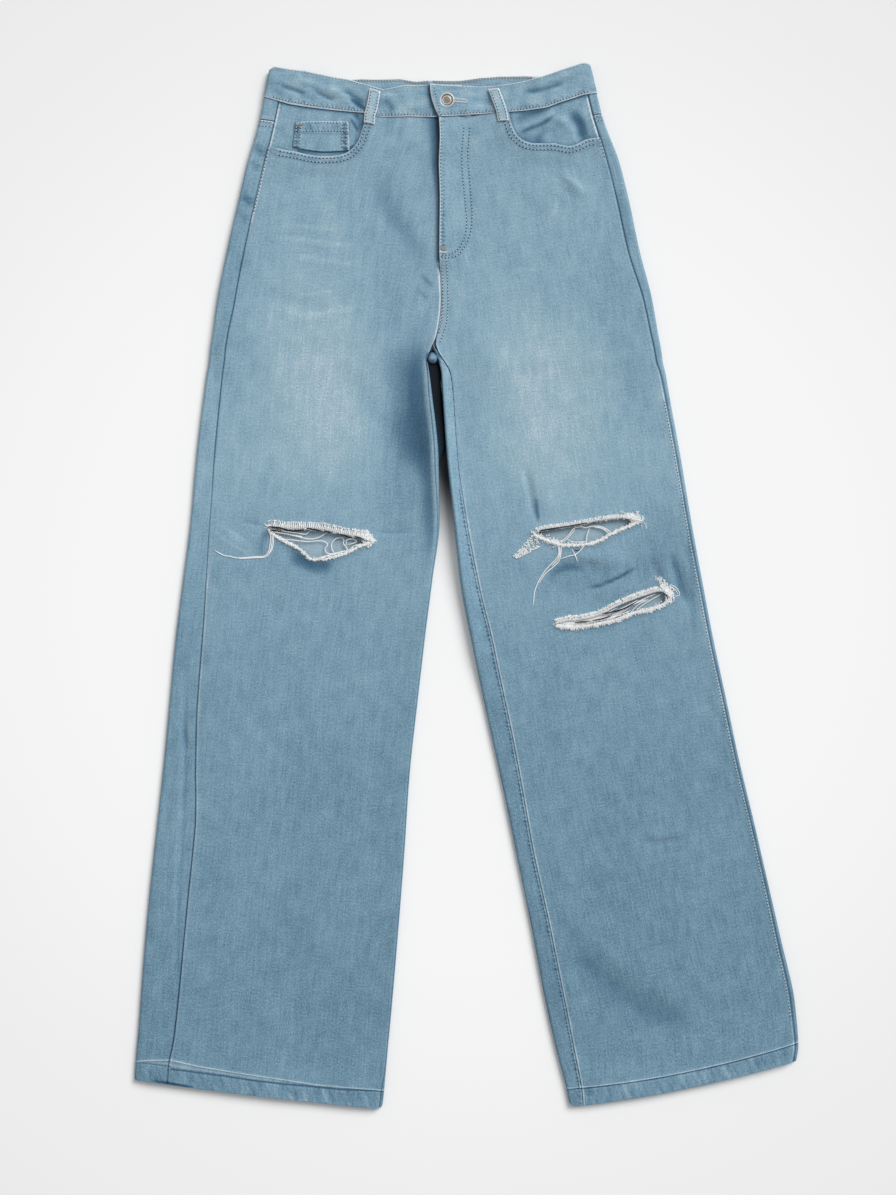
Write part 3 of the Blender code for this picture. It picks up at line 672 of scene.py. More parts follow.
def band_faded(x, y):
    """The waistband is streaked along its length."""
    along = 0.06 * ripple(x * 0.25 + y * 0.1, y, 27, 9) + 0.05 * ripple(x * 0.4, y, 28, 16)
    return faded(x, y) + along


# Meshes

def mesh_of(bm, name):
    """A mesh of what was built."""
    mesh = bpy.data.meshes.new(name)
    bm.to_mesh(mesh)
    bm.free()
    return mesh


def placed(name, data, at=(0, 0, 0)):
    """An object in the scene."""
    made = bpy.data.objects.new(name, data)
    made.location = at
    bpy.context.scene.collection.objects.link(made)
    return made


GRID_MARKS = ("column", "row", "lip")
# the puckers' fact sinks the bump where seams pucker the cloth, and paints shade in the puckers'
# troughs
PLAIN = {"worn": 0, "shaded": 0, "gathered": 0, "roped": 0}     # unless a shape says otherwise


def grid(name, columns, rows, shape, finishes, wall=WALL, slits=(), faces_down=False):
    """A sheet of cloth. shape(column, row, lip) gives its outer face's x, y and z and its
    other facts: the cloth's own place (across, along), how faded it is, how thick where it
    varies, and what isn't plain about it.
    A slit is a row number with its first and last column; lip is 1 on a slit's upper edge
    and -1 on its lower one."""
    bm = bmesh.new()
    bmesh.ops.create_grid(bm, x_segments=len(columns) - 1, y_segments=len(rows) - 1, size=0.5)
    at_column, at_row, at_lip = (bm.verts.layers.int.new(mark) for mark in GRID_MARKS)
    for vert in bm.verts:
        vert[at_column] = round((vert.co.x + 0.5) * (len(columns) - 1))
        vert[at_row] = round((vert.co.y + 0.5) * (len(rows) - 1))
    for row, first, last in slits:
        on_row = [edge for edge in bm.edges if all(
            vert[at_row] == row and first <= vert[at_column] <= last for vert in edge.verts)]
        bmesh.ops.split_edges(bm, edges=on_row)
        for vert in bm.verts:
            if vert[at_row] == row and first < vert[at_column] < last:
                rows_met = {other[at_row] for face in vert.link_faces for other in face.verts}
                vert[at_lip] = 1 if row - 1 in rows_met else -1
    mesh = mesh_of(bm, name)

    numbers = []
    for mark in GRID_MARKS:
        values = np.zeros(len(mesh.vertices), np.int32)
        mesh.attributes[mark].data.foreach_get("value", values)
        mesh.attributes.remove(mesh.attributes[mark])
        numbers.append(values)
    x, y, z, facts = shape(columns[numbers[0]], rows[numbers[1]], numbers[2])
    mesh.vertices.foreach_set("co", (np.stack([x, y, z], axis=1) * MM).astype("f").ravel())
    if turned_in(mesh, faces_down):
        mesh.flip_normals()

    corners = np.zeros(len(mesh.loops), np.int32)
    mesh.loops.foreach_get("vertex_index", corners)
    pattern = np.stack([facts.pop("across") * MM, facts.pop("along") * MM], axis=1)
    mesh.uv_layers.new(name="cloth").data.foreach_set("uv", pattern[corners].astype("f").ravel())
    thick = facts.pop("thick", None)
    for fact, values in (PLAIN | facts).items():
        layer = mesh.attributes.new(fact, "FLOAT", "POINT")
        layer.data.foreach_set("value", np.broadcast_to(values, x.shape).astype("f"))
    return sew_on(name, mesh, finishes, wall, thick)


def turned_in(mesh, faces_down):
    """Whether the faces that lie on top point down, or the other way round."""
    count = len(mesh.polygons)
    normals, centres = np.zeros(count * 3, "f"), np.zeros(count * 3, "f")
    mesh.polygons.foreach_get("normal", normals)
    mesh.polygons.foreach_get("center", centres)
    heights = centres.reshape(-1, 3)[:, 2]
    on_top = heights >= (heights.min() + heights.max()) / 2
    return (normals.reshape(-1, 3)[on_top, 2].sum() > 0) == faces_down


def sew_on(name, mesh, finishes, wall, thick=None):
    """Makes a piece of a mesh, with a wall of cloth if it has one."""
    piece = placed(name, mesh)
    for finish in finishes:
        mesh.materials.append(finish)
    mesh.shade_smooth()
    if wall:
        solidify = piece.modifiers.new("wall", "SOLIDIFY")
        solidify.thickness = wall * MM
        solidify.offset = -1
        solidify.material_offset = len(finishes) - 1
        solidify.material_offset_rim = 0
        if thick is not None:
            group = piece.vertex_groups.new(name="thick")
            for share in np.unique(thick.round(2)):
                members = np.flatnonzero(thick.round(2) == share).tolist()
                group.add(members, float(share), "REPLACE")
            solidify.vertex_group = "thick"
    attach(piece, "root")
    return piece


def edge_roll(distance, depth=1.0, width=1.9):
    """How far a sewn or folded edge rolls down."""
    return depth * (1 - smooth(distance / width)) ** 1.5


def to_ends(share, width):
    """Distance from the nearer of a piece's two ends, at a share across it."""
    return np.minimum(share, 1 - share) * width


EDGE_STEPS = [0, 0.5, 1.1, 1.9, 2.9, 4.2, 5.8, 7.6, 9.6, 12]


def near_ends(count, width, edges=EDGE_STEPS[:6]):
    """Shares across a piece, close together at both ends."""
    near = np.array(edges) / width
    return np.concatenate((near, near[-1] + (1 - 2 * near[-1]) * steps(count)[1:-1],
                           1 - near[::-1]))


# Where rows are close together: beside a rip's slit, and over the hem's seam
SLIT_STEPS = [0, 0.6, 1.3, 2.1, 3.1, 4.3, 5.8, 7.6, 9.8, 12.4, 15.5]
HEM_STEPS = [-10.5, -9.5, -8.7, -7.9, -7.1, -6.3, -5.5, -4.7, -3.9, -3.2, -2.5, -1.8, -1.1, -0.4,
             0.3, 1.0, 1.7, 2.4, 3.1, 3.8, 4.5, 5.3, 6.4, 7.8, 9.4]
HEM_RAISED = 1.6          # how far above its level the hem's seam shows
# How much lower than that its pale ridge and its groove lie on the right leg, by x
RIDGE_LOWER = [(-347, 0.8), (-328, -3.6), (-310, -6.4), (-280, -2.8), (-256, -1.2), (-225, 0.6),
               (-194, 1.9), (-158, 3.8), (-132, 3.0), (-87, 0.7)]
GROOVE_LOWER = [(-306, 2.9), (-255, 3.2), (-225, 4.3), (-194, 4.2), (-158, 3.6), (-132, 3.2),
                (-87, 0.2)]
GROOVE_FROM = -312        # x where it starts
ROW_PITCH = 3.2           # down the leg


# Fronts

def mouth_levels(side):
    """Share across the front and level of the points of a pocket mouth."""
    line = curve(MOUTHS[side], 2.6)
    level, place = settle(side, line[:, 0], line[:, 1])
    ring = ring_at(side, np.maximum(level, WAIST))
    share = (place - front_start(ring)) / (inner_end(ring, FRONT) - front_start(ring))
    level, share = np.maximum(level, WAIST), np.maximum.accumulate(share)
    return np.concatenate(([0], share[1:])), level


def front_columns(side):
    """Shares across a front, close together at its sides and under the pocket mouth."""
    share, _ = mouth_levels(side)
    near = np.array(EDGE_STEPS[:8]) / 190
    mouth = share[share > near[-1] + 0.008]
    rest = near_ends(30, 95, EDGE_STEPS + [14, 15.2, 16.8, 19, 22]) * (1 - mouth[-1]) + mouth[-1]
    middle = rest[rest > mouth[-1] + 0.01]
    return np.concatenate((near, mouth, middle))


def front_rows(side):
    """Rows as distance down the leg, closer where something happens, with each rip's row."""
    top, bottom = down(side, SEAT), down(side, HEM)
    marks = {}
    rows = list(np.linspace(top, bottom, int((bottom - top) / ROW_PITCH)))
    hem_seam = down(side, HEM_LINE) - HEM_RAISED
    crowded = [(hem_seam + off, 0.9) for off in HEM_STEPS]
    crowded += [(bottom - off, 1.0) for off in EDGE_STEPS[1:6]]
    for name, rip in RIPS.items():
        if rip.side == side:
            middle = np.mean([y for _, y in rip.upper + rip.lower])
            x = np.mean([x for x, _ in rip.upper])
            marks[name] = down(side, float(settle(side, x, middle)[0]))
            for off in SLIT_STEPS:
                crowded += [(marks[name] + off, 1.6), (marks[name] - off, 1.6)]
    for place, room in crowded:
        rows = [row for row in rows if abs(row - place) > room or row in (top, bottom)]
    rows = sorted(set(rows + [place for place, _ in crowded]))
    return np.array(rows), marks


def rip_pull(rip, x, y, row_y, lip):
    """How far the cloth is drawn up or down in y to open a rip, from a row at row_y."""
    upper, lower = (np.array(line) for line in (rip.upper, rip.lower))
    to_upper = np.interp(x, *upper.T) - row_y
    to_lower = np.interp(x, *lower.T) - row_y
    above = (y > row_y + 1e-6) | (lip > 0)
    fade = 1 - smooth(np.abs(y - row_y) / RIP_REACH)
    before, after = upper[0, 0] - x, x - upper[-1, 0]
    beyond = np.maximum(np.maximum(before, after), 0)
    fade = fade * (1 - smooth(beyond / RIP_REACH))
    return np.where(above, to_upper, to_lower) * fade


def rip_edge(side, x, y):
    """Distance from a place to the nearest rip's edge, and 1 above that rip or -1 below it."""
    distance, above = np.full(np.shape(x), FAR), np.zeros(np.shape(x))
    for rip in RIPS.values():
        if rip.side == side:
            for line, way in ((rip.upper, 1), (rip.lower, -1)):
                off, _ = nearest(line, x, y)
                above = np.where(off < distance, way, above)
                distance = np.minimum(distance, off)
    return distance, above


# A front's rows: from -1 they go down from its upper edge by these millimetres, as
# hundredths, then evenly to 0 at the seat's level, and from there by distance down the leg
TOP_STEPS = np.array([0, 0.5, 1.1, 1.9, 2.9, 4.2, 5.8, 7.4, 8.8, 10.4, 12.5, 15, 18])
EVEN_SHARE = 0.78


def front(side, finishes):
    """A front, from the waistband and the pocket mouth down to the hem."""
    columns = front_columns(side)
    shares, levels = mouth_levels(side)
    long_rows, marks = front_rows(side)
    top_rows = np.concatenate((-1 + TOP_STEPS / 100, -EVEN_SHARE + EVEN_SHARE * steps(20)[:-1]))
    rows = np.concatenate((top_rows, long_rows))
    mouth = curve(MOUTHS[side])

    slits = []
    for name, run in marks.items():
        rip = RIPS[name]
        row = len(top_rows) + int(np.argmin(np.abs(long_rows - run)))
        level = level_of(side, run)
        x, _, _, _ = lay(side, np.full(len(columns), level), front_place(side, columns, level))
        inside = np.flatnonzero((x > rip.upper[0][0]) & (x < rip.upper[-1][0]))
        slits.append((row, int(inside[0]) - 1, int(inside[-1]) + 1))

    def shape(column, row, lip):
        edge = np.where(column < shares[-1], np.interp(column, shares, levels), WAIST)
        edge = edge + SEAM_GAP / LEVEL_PITCH * (column >= shares[-1])
        near = np.clip((row + 1) * 100, 0, TOP_STEPS[-1]) / LEVEL_PITCH
        past = np.clip((row + EVEN_SHARE) / EVEN_SHARE, 0, 1)
        even = lerp(edge + 20 / LEVEL_PITCH, SEAT, past)
        upper = np.where(row < -0.8, edge + near, even)
        level = np.where(row < 0, upper, level_of(side, row))
        place = front_place(side, column, level)
        x, y, z, flat = lay(side, level, place)
        pulled = 0.0
        for name, run in marks.items():
            rip = RIPS[name]
            slit_level = level_of(side, run)
            at_level = front_place(side, column, slit_level)
            _, slit_y, _, _ = lay(side, np.full(x.shape, slit_level), at_level)
            at_slit = np.where(np.abs(row - run) < 0.01, lip, 0)
            pulled = pulled + rip_pull(rip, x, y, slit_y, at_slit)
        y = y + pulled
        ring = ring_at(side, level)
        to_mouth, _ = nearest(mouth, x, y)
        at_mouth = (level < 3.4) & (column < shares[-1] + 0.15)
        to_mouth = np.where(at_mouth, to_mouth, FAR)
        to_side, to_inner = place - front_start(ring), inner_end(ring, FRONT) - place
        return front_facts(side, x, y, z, flat, level, column, to_side, to_inner, to_mouth,
                           place, pulled)

    return grid("front_" + side + "_cloth", columns, rows, shape, finishes, HEM_WALL,
                slits=slits)


def front_place(side, share, level):
    """Place of a share across a front; the right one goes on a little way under the fly."""
    ring = ring_at(side, level)
    place = lerp(front_start(ring), inner_end(ring, FRONT), share)
    if side == "right":
        under = np.clip((share - FLY_SHARE) / (1 - FLY_SHARE), 0, 1)
        place = place + FLY_UNDER * under * (1 - smooth((level - FLY_END) / (FLY_SUNK - FLY_END)))
    return place


def front_facts(side, x, y, z, flat, level, column, to_side, to_inner, to_mouth, place, pulled):
    """The finished height of a front's cloth and how faded, worn and shaded it is."""
    to_rip, way = rip_edge(side, x, y)
    run = down(side, level)
    to_waist = np.where(column > mouth_levels(side)[0][-1], below_waist(level), FAR)
    on_fly = (side == "left") * (1 - smooth((level - FLY_END) / 0.4))
    y = rounded_hem(side, level, x, y)
    z = z + drape(x, y) * flat + bulk(x, y, z)
    z = z + (LAYER + 0.3) * (1 - smooth((to_mouth - 10) / 14)) * (level < 3.6)
    z = z + (LAYER + 0.5) * smooth((column - 0.82) / 0.07) * on_fly
    z = z + 2.8 * np.exp(-to_inner / 8) * on_fly
    z = z + 0.6 * bump(to_mouth - 4, 4) + pucker(run, to_inner, level) * flat
    hem = hem_facts(side, x, run)
    z = z + hem.height * flat
    z = z - edge_roll(to_mouth, 0.8) - edge_roll(to_side, 0.7)
    z = z - edge_roll(to_inner, 0.5) * flat * (1 - on_fly)
    z = z + np.where(way > 0, 1.5, 0.7) * bump(to_rip, 4.5)
    edge_worn = read(OUTSEAM_PALE[side], level) * bump(to_side - 1.6, 0.9)
    edge_dark = read(OUTSEAM_DARK[side], level) * bump(to_side, 0.9)
    seam_worn = bump(to_inner - 1.1, 0.8) * read(INNER_PALE[side], level)
    beside_fly = ring_at(side, level).inner_x - x
    if side == "right":
        wide = read(FLY_SHADE, y)
        shadow = 1.6 * np.exp(-(np.maximum(beside_fly, 0) / wide) ** 2) * (beside_fly > -9)
        shadow = shadow * (level < FLY_END + 0.1)
    else:
        shadow = 0.5 * bump(to_inner - 3.4, 0.9) * (level < FLY_END) * (level > 4)
    seam_dark = read(INSEAM_DARK, level) * bump(to_inner, 0.9) * (level > FLY_END)
    # painted shade: in troughs, beside the fly and under the lap, in the seams' and the hem's
    # grooves, beside the standing folds, round the fork's lump, along sunk rows of sewing, under
    # the band, over and beside the mouth's hem, and below the rips' lower lips
    shaded = (hollows(CREASES, x, y) + shadow + edge_dark + seam_dark + hem.shaded
              + relief(SHADE, x, y) * smooth((to_inner - 1.5) / 4) + relief(HEM_DARK, x, y)
              + knob_shade(x, y) * (to_inner < 5)
              + 0.3 * bump(to_mouth - 9.4, 1.2) + 0.8 * bump(to_waist, 1.4)
              + 0.35 * bump(to_mouth - 2.8, 0.9) + 0.45 * bump(to_mouth - 7.0, 0.9)
              + 0.12 * (to_mouth < 8) + sewn_row_shade(side, x, y)
              + np.where(way > 0, 0.0, 0.3) * bump(to_rip - 5, 4))
    worn = (0.3 * bump(to_mouth - 0.6, 0.7) + 0.1 * (to_mouth < 8.6) + edge_worn + seam_worn
            + hem.worn + relief(HEM_WORN, x, y) + 0.8 * bump(to_rip, 1.1))
    # where the cloth puckers beside the fly, the mouth and the outseam; the puckers' troughs get
    # painted shade
    gathered = (0.9 * bump(to_inner - 4.5, 2.2) * (side == "left") * on_fly
                + 0.6 * bump(to_mouth - 5, 1.6)
                + 0.35 * bump(to_side - 3, 2) * side_stitched(side, level))
    return x, y, z, dict(
        across=place * AWAY[side], along=-run + pulled,
        faded=faded(x, y) + relief(WHISKERS, x, y), worn=np.clip(worn, 0, 1),
        shaded=np.clip(shaded, 0, DEEPEST), gathered=gathered,
        roped=hem.roped + 0.3 * (to_mouth < 8), thick=hem_thick(level))


def knob_shade(x, y):
    """How dark it is round the lump where the fork's seams cross."""
    return 1.2 * bump(np.hypot(x - KNOB[0], y - KNOB[1]) - 6.6, 1.3) * (y < 247)


def sewn_row_shade(side, x, y):
    """How much painted shade lies along the fly's rows of sewing, where they sink into the cloth.
    """
    if side == "right":
        return 0.0
    near = np.minimum(*(nearest(curve(line, 6), x, y)[0] for line in J_ROWS))
    rise, _ = nearest(RISE_ROWS, x, y)
    return 0.5 * bump(near, 0.9) + 0.3 * bump(rise, 1.0)


def side_stitched(side, level):
    """1 where an outseam is sewn down, so that the cloth beside it puckers, and 0 where it isn't.
    """
    top = 1 - smooth((level - 5.6) / 0.5)
    if side == "right":
        return top
    return np.maximum(top, smooth((level - 10.8) / 0.5) * (1 - smooth((level - 21.4) / 0.4)))


Hem = namedtuple("Hem", "height worn shaded roped")


def hem_facts(side, x, run):
    """What a hem adds: a pale worn ridge over a stitched groove in painted shade, and twisted cloth
    below.
    """
    seam = down(side, HEM_LINE) - HEM_RAISED
    ridge = groove = np.zeros(x.shape)
    if side == "right":
        ridge = read(RIDGE_LOWER, x)
        groove = read(GROOVE_LOWER, x) * smooth((x - GROOVE_FROM) / 4)
    from_ridge, from_groove = run - seam - ridge + 2.2, run - seam - groove
    apart = np.clip(groove - ridge - 1, 0, 6)
    between = bump((from_ridge + from_groove) / 2 - 0.8, 0.6 + apart / 2) * (apart > 0.5)
    band = smooth((from_groove + 0.5) / 1.5)
    return Hem(
        height=0.9 * band + 0.5 * bump(from_ridge, 1.6) - 0.7 * bump(from_groove, 1.0),
        worn=0.68 * bump(from_ridge, 0.85) + 0.32 * between,
        shaded=0.85 * bump(from_groove, 0.9) * np.where(x < GROOVE_FROM, 0.2, 1),
        roped=0.7 * band)


def hem_thick(level):
    """The wall as a share of the turned-up hem's."""
    return np.where(level > HEM_LINE, 1.0, WALL / HEM_WALL)


def rounded_hem(side, level, x, y):
    """y with the corners of the hem rounded."""
    ring = ring_at(side, level)
    at_outer, at_inner = np.abs(x - ring.outer_x), np.abs(x - ring.inner_x)
    raised = 0.6 * (1 - smooth(at_outer / 6)) ** 2 + 2.8 * (1 - smooth(at_inner / 6.5)) ** 2
    return y + raised * bump((HEM - level) * 18, 4.5)


def pucker(run, distance, level):
    """The small waves where a seam's sewing gathers the cloth."""
    wave = np.sin(run * 2 * math.pi / 9.5 + 2.2 * np.sin(run / 31) + 1.3 * np.sin(run / 17))
    return 0.3 * wave * np.exp(-distance / 5) * (level > FORK)


def seam_crossing(finishes):
    """The lump of cloth between the legs where the four seams of the fork cross."""
    wide, long = 6.3, 7.2

    def shape(column, row, lip):
        x = KNOB[0] + wide * column * np.sqrt(1 - row ** 2 / 2)
        y = KNOB[1] + long * row * np.sqrt(1 - column ** 2 / 2)
        off = np.hypot((x - KNOB[0]) / wide, (y - KNOB[1]) / long)
        z = 3.2 + 7.2 * np.sqrt(np.clip(1.02 - off ** 2, 0, 1)) + 0.5 * ripple(x, y, 9, 7)
        # painted shade round its rim, on its lower side and a little all over, and a low faded
        # value for the shade it lies in; its worn top is a painted highlight
        shaded = 1.7 * smooth((off - 0.6) / 0.4) + 0.5 * smooth((KNOB[1] - y) / 5)
        return x, y, z, dict(across=x, along=y, faded=0.36, worn=0.2 * bump(off - 0.2, 0.3),
                             shaded=shaded + 0.2, roped=0.3)

    return grid("seam_crossing", 2 * steps(16) - 1, 2 * steps(18) - 1, shape, finishes)


# Facings and coin pocket

def facing(side, finishes):
    """The denim behind a pocket mouth."""
    shares, levels = mouth_levels(side)
    reach = shares[-1] + 0.03
    mouth = curve(MOUTHS[side])

    def shape(column, row, lip):
        share = column * reach
        deep = np.interp(share, shares, levels) - WAIST
        level = WAIST + 0.01 + row * (deep + FACING_UNDER / LEVEL_PITCH)
        place = front_place(side, share, level)
        x, y, z, _ = lay(side, level, place)
        to_side = place - front_start(ring_at(side, level))
        to_mouth, _ = nearest(mouth, x, y)
        under_coin, _ = nearest(COIN_SHADOW, x, y)
        to_waist = below_waist(level)
        folds = relief(FACING_CREASES, x, y) * smooth(to_waist / 6)
        z = z - SOFTNESS * 0.6 - edge_roll(to_side) + 1.3 * folds
        shaded = (relief(FACING_SHADE, x, y) + 0.5 * bump(to_mouth, 2.6)
                  + 1.0 * bump(to_waist, 1.8) + 0.25 * bump(to_waist, 7)
                  + 0.9 * bump(under_coin, 1.5) * (side == "right") + 0.6 * bump(to_side, 0.9))
        return x, y, z, dict(
            across=place, along=-down(side, level), faded=faded(x, y) - 0.04,
            worn=bump(to_side - 1.6, 0.9), shaded=np.clip(shaded, 0, 1.3),
            gathered=0.5 * bump(to_side - 3, 2.5))

    columns = near_ends(44, 100)
    return grid("pocket_facing_" + side + "_cloth", columns, steps(34), shape, finishes)


# Along the coin pocket's lower edge, where it throws its shade
COIN_SHADOW = [(-176, 456), (-166, 454.9), (-141, 454), (-127.5, 455), (-119, 460)]
# Folds of the facings, and where they lie in shade
FACING_CREASES = creases(
    (1.8, 5, (54, 474), (68, 483), (84, 490), (98, 488), (108, 478), (114, 464)),
    (-1.6, 4.5, (48, 480), (60, 488), (76, 496), (92, 498)),
    (-1.8, 5, (120, 490), (117, 478), (118, 464)),
    (-1.2, 3.5, (70, 470), (76, 476), (84, 478)),
    (-0.8, 3, (84, 462), (90, 470), (88, 480)),
    (-1.0, 4, (-119, 497), (-114, 484), (-118, 470)),
    (1.0, 4, (-126, 494), (-121, 484), (-122, 472)),
)
FACING_SHADE = creases(
    (0.8, 2.4, (50, 470), (58, 475), (68, 479.5), (79, 483.5), (90, 491), (98, 498)),
    (0.5, 7, (46, 482), (58, 489), (76, 496), (90, 499)),
    (0.45, 6, (54, 472), (64, 469), (76, 467), (84, 466)),
    (1.0, 6.5, (106, 500), (114, 492), (120, 482), (122, 472), (119, 462)),
    (0.35, 5, (70, 466), (78, 472), (82, 480)),
    (0.9, 1.9, (-124, 491), (-120, 487), (-115, 479), (-112, 472)),
    (0.7, 3.5, (-119, 497), (-112, 488), (-111, 476)),
    (0.5, 2.5, (-119, 476), (-115, 468), (-116, 460)),
    (0.3, 6, (-196, 484), (-190, 476), (-192, 466)),
)

COIN_WIDTH, COIN_DEPTH = 62, 27
# The coin pocket's upper and lower edges
COIN_TOP = [(-179.5, 485.2), (-164, 486.3), (-146, 486.4), (-123.5, 486)]
COIN_BOTTOM = [(-182.5, 459.5), (-166, 456.4), (-148, 454.6), (-122.5, 456)]


def coin_pocket(finishes):
    """The small pocket on the right facing, down to the mouth's edge."""
    top, bottom = curve(COIN_TOP, 1), curve(COIN_BOTTOM, 1)

    def shape(column, row, lip):
        above, below = (np.stack([np.interp(column, steps(len(line) - 1), values)
                                  for values in line.T]) for line in (top, bottom))
        x, y = lerp(above, below, row)
        level, place = settle("right", x, y)
        _, _, z, _ = lay("right", level, place)
        to_top = row * COIN_DEPTH
        to_side = to_ends(column, COIN_WIDTH)
        z = z + LAYER - SOFTNESS * 0.6 - edge_roll(to_top) - edge_roll(to_side)
        z = z + 0.5 * bump(to_top - 5, 4) + 0.3 * bump(to_side - 3, 3)
        z = z + 0.22 * np.sin(x * 2 * math.pi / 7.5) * bump(to_top - 4, 5)
        worn = 0.5 * bump(to_top, 1.2) + 0.6 * bump(to_side, 1.2)
        shaded = 0.4 * bump(to_top - 11.5, 1.3) + 0.4 * bump(to_side - 5, 2.5)
        shaded = shaded + 0.5 * bump(to_top - 6, 3) * ripple(x, 0 * y, 31, 9)
        shaded = shaded + 0.9 * bump(column * COIN_WIDTH, 1.0)
        return x, y, z, dict(
            across=place, along=y, faded=faded(x, y) - 0.02, worn=worn, shaded=shaded,
            gathered=1.5 * bump(to_side - 4.2, 3), roped=1.2 * (to_top < 10.5))

    return grid("coin_pocket_cloth", near_ends(22, COIN_WIDTH, EDGE_STEPS[:7]),
                near_ends(10, COIN_DEPTH), shape, finishes)


# Backs, yokes and back pockets

# How many columns each stretch of a back has: outseam's strip, side fold, middle, inner fold
# and inseam's strip
BACK_STRETCHES = (16, 8, 44, 8, 8)
# How deep the shade is between the legs under the fork, by y
GAP_SHADE = [(0, 0), (60, 0.5), (120, 1.55), (165, 1.75), (205, 1.9)]


def back_columns():
    """Column numbers: the stretch and the share of it, as one number."""
    first, *between, last = BACK_STRETCHES
    columns = [near_ends(first, 30)]
    columns += [stretch + steps(count)[1:] for stretch, count in enumerate(between, 1)]
    columns.append(len(BACK_STRETCHES) - 1 + near_ends(last, 16)[1:])
    return np.concatenate(columns)


def back_place(side, column, level):
    """Place, counted along the back, of a column at a level."""
    ring = ring_at(side, level)
    start = SEAM_GAP / 2 - along_cloth(ring.outseam)
    end = inner_end(ring, BACK)
    turn = lerp(end - 14.0, ring.width - 2 * FOLD_RADIUS + QUARTER, ring.tube)
    over = np.minimum(turn + 2 * QUARTER, lerp(turn, end, 0.8))
    knots = np.stack(np.broadcast_arrays(start, -0.9 * QUARTER, QUARTER, turn, over, end))
    low = np.clip(np.floor(column), 0, 4).astype(int)
    share = column - low
    index = np.arange(len(column))
    return lerp(knots[low, index], knots[low + 1, index], share)


def yoke_level(column):
    """Level of the yoke's lower seam at a column."""
    return YOKE_SIDE + YOKE_DROP * np.clip(column - 2, 0, 1)


def back_facts(side, level, x, y, z, flat, place, to_seam):
    """The finished place of a back's cloth and how faded, worn and shaded it is."""
    ring = ring_at(side, level)
    start, end = SEAM_GAP / 2 - along_cloth(ring.outseam), inner_end(ring, BACK)
    to_side, to_inner = place - start, end - place
    run = down(side, level)
    on_top = smooth((z - 3.5) / 1.5)
    roll = edge_roll(to_side) + edge_roll(to_inner) + edge_roll(to_seam)
    hem = hem_facts(side, x, run)
    y = rounded_hem(side, level, x, y)
    past_fold = (place - QUARTER - ring.width + 2 * FOLD_RADIUS) / QUARTER
    deep = read(GAP_SHADE, y) * (y < 246)
    in_gap = smooth((1.45 - past_fold) / 0.35) * deep * (past_fold > -1) * (z < 6)
    if side == "right":
        # the seat's cloth bridges the legs under the fork, where GAP_SHADE paints it in deep shade
        to_other = ring_at("left", level).inner_x - ring.inner_x + 2.2
        bridge = np.clip(1 - np.abs(past_fold - 0.5) / 0.5, 0, 1) * (past_fold > 0)
        bridge = bridge * smooth((y - 122) / 30) * (y < 246)
        x = x + to_other * bridge
        z = z + 0.5 * bridge
    z = z + np.where(z > 3.1, -roll, roll) + drape(x, y) * flat * on_top + bulk(x, y, z)
    z = z + pucker(run + 4, to_inner, level) * flat * on_top
    z = z + hem.height * flat * on_top
    dark_side = read(OUTSEAM_DARK[side], level)
    # painted shade: between the legs under the fork, in the seams' and the hem's grooves, in
    # troughs and the hems' hollows, in the strips' wrinkles, under the waistband and round the
    # fork's lump
    shaded = (hem.shaded + in_gap + dark_side * bump(to_side, 1.0)
              + hollows(CREASES, x, y) * on_top + 0.35 * bump(to_seam, 1.2)
              + (relief(STRIP_SHADE, x, y) + relief(HEM_DARK, x, y)) * on_top
              + 0.5 * bump(below_waist(level), 1.4)
              + read(INSEAM_DARK, level) * bump(to_inner, 0.9)
              + knob_shade(x, y))
    worn = (0.4 * bump(to_inner - 1.5, 1.0) * read(INNER_PALE[side], level)
            + 0.7 * bump(to_seam - 1.5, 1.1) + 0.6 * bump(to_seam - 6.5, 1.0) + hem.worn)
    # puckers pulled in beside the left inseam, with painted shade in their troughs
    pulled = 1.2 * bump(to_inner - 2.8, 2.0) * smooth((level - 12.2) / 0.8) * (side == "left")
    return x, y, z, dict(
        across=-place * AWAY[side], along=-run, faded=faded(x, y) - 0.05,
        worn=np.clip(worn, 0, 1), shaded=np.clip(shaded, 0, DEEPEST),
        gathered=pulled + 0.25 * bump(to_side - 5, 5) * (level < 5.5),
        roped=hem.roped, thick=hem_thick(level))


YOKE_ROWS = 80            # down the back, from the yoke to the seat's level


def back(side, finishes):
    """A back, from the yoke down, folded round both sides of the leg."""
    top, bottom = down(side, SEAT), down(side, HEM)
    hem_seam = down(side, HEM_LINE) - HEM_RAISED
    rows = [row for row in np.linspace(top, bottom, 200) if not -12 < row - hem_seam < 11]
    rows += [hem_seam + off for off in HEM_STEPS]
    rows += [bottom - off for off in EDGE_STEPS[1:4]]
    rows = np.array([*near_ends(16, YOKE_ROWS)[:-5] - 1, *sorted(rows)])

    def shape(column, row, lip):
        start = yoke_level(column) + SEAM_GAP / LEVEL_PITCH
        level = np.where(row < 0, lerp(start, SEAT, row + 1), level_of(side, row))
        place = back_place(side, column, level)
        x, y, z, flat = lay(side, level, -place)
        to_seam = np.where(row < 0, (row + 1) * YOKE_ROWS, FAR)
        return back_facts(side, level, x, y, z, flat, place, to_seam)

    return grid("back_" + side + "_cloth", back_columns(), rows, shape, finishes, HEM_WALL)


def yoke(side, finishes):
    """The wedge between the waistband and the back."""

    def shape(column, row, lip):
        end = yoke_level(column) - SEAM_GAP / LEVEL_PITCH
        level = lerp(WAIST + 0.01, end, row)
        place = back_place(side, column, level)
        x, y, z, flat = lay(side, level, -place)
        return back_facts(side, level, x, y, z, flat, place, (1 - row) * 40)

    return grid("yoke_" + side + "_cloth", back_columns(), near_ends(14, 50),
                shape, finishes, HEM_WALL)


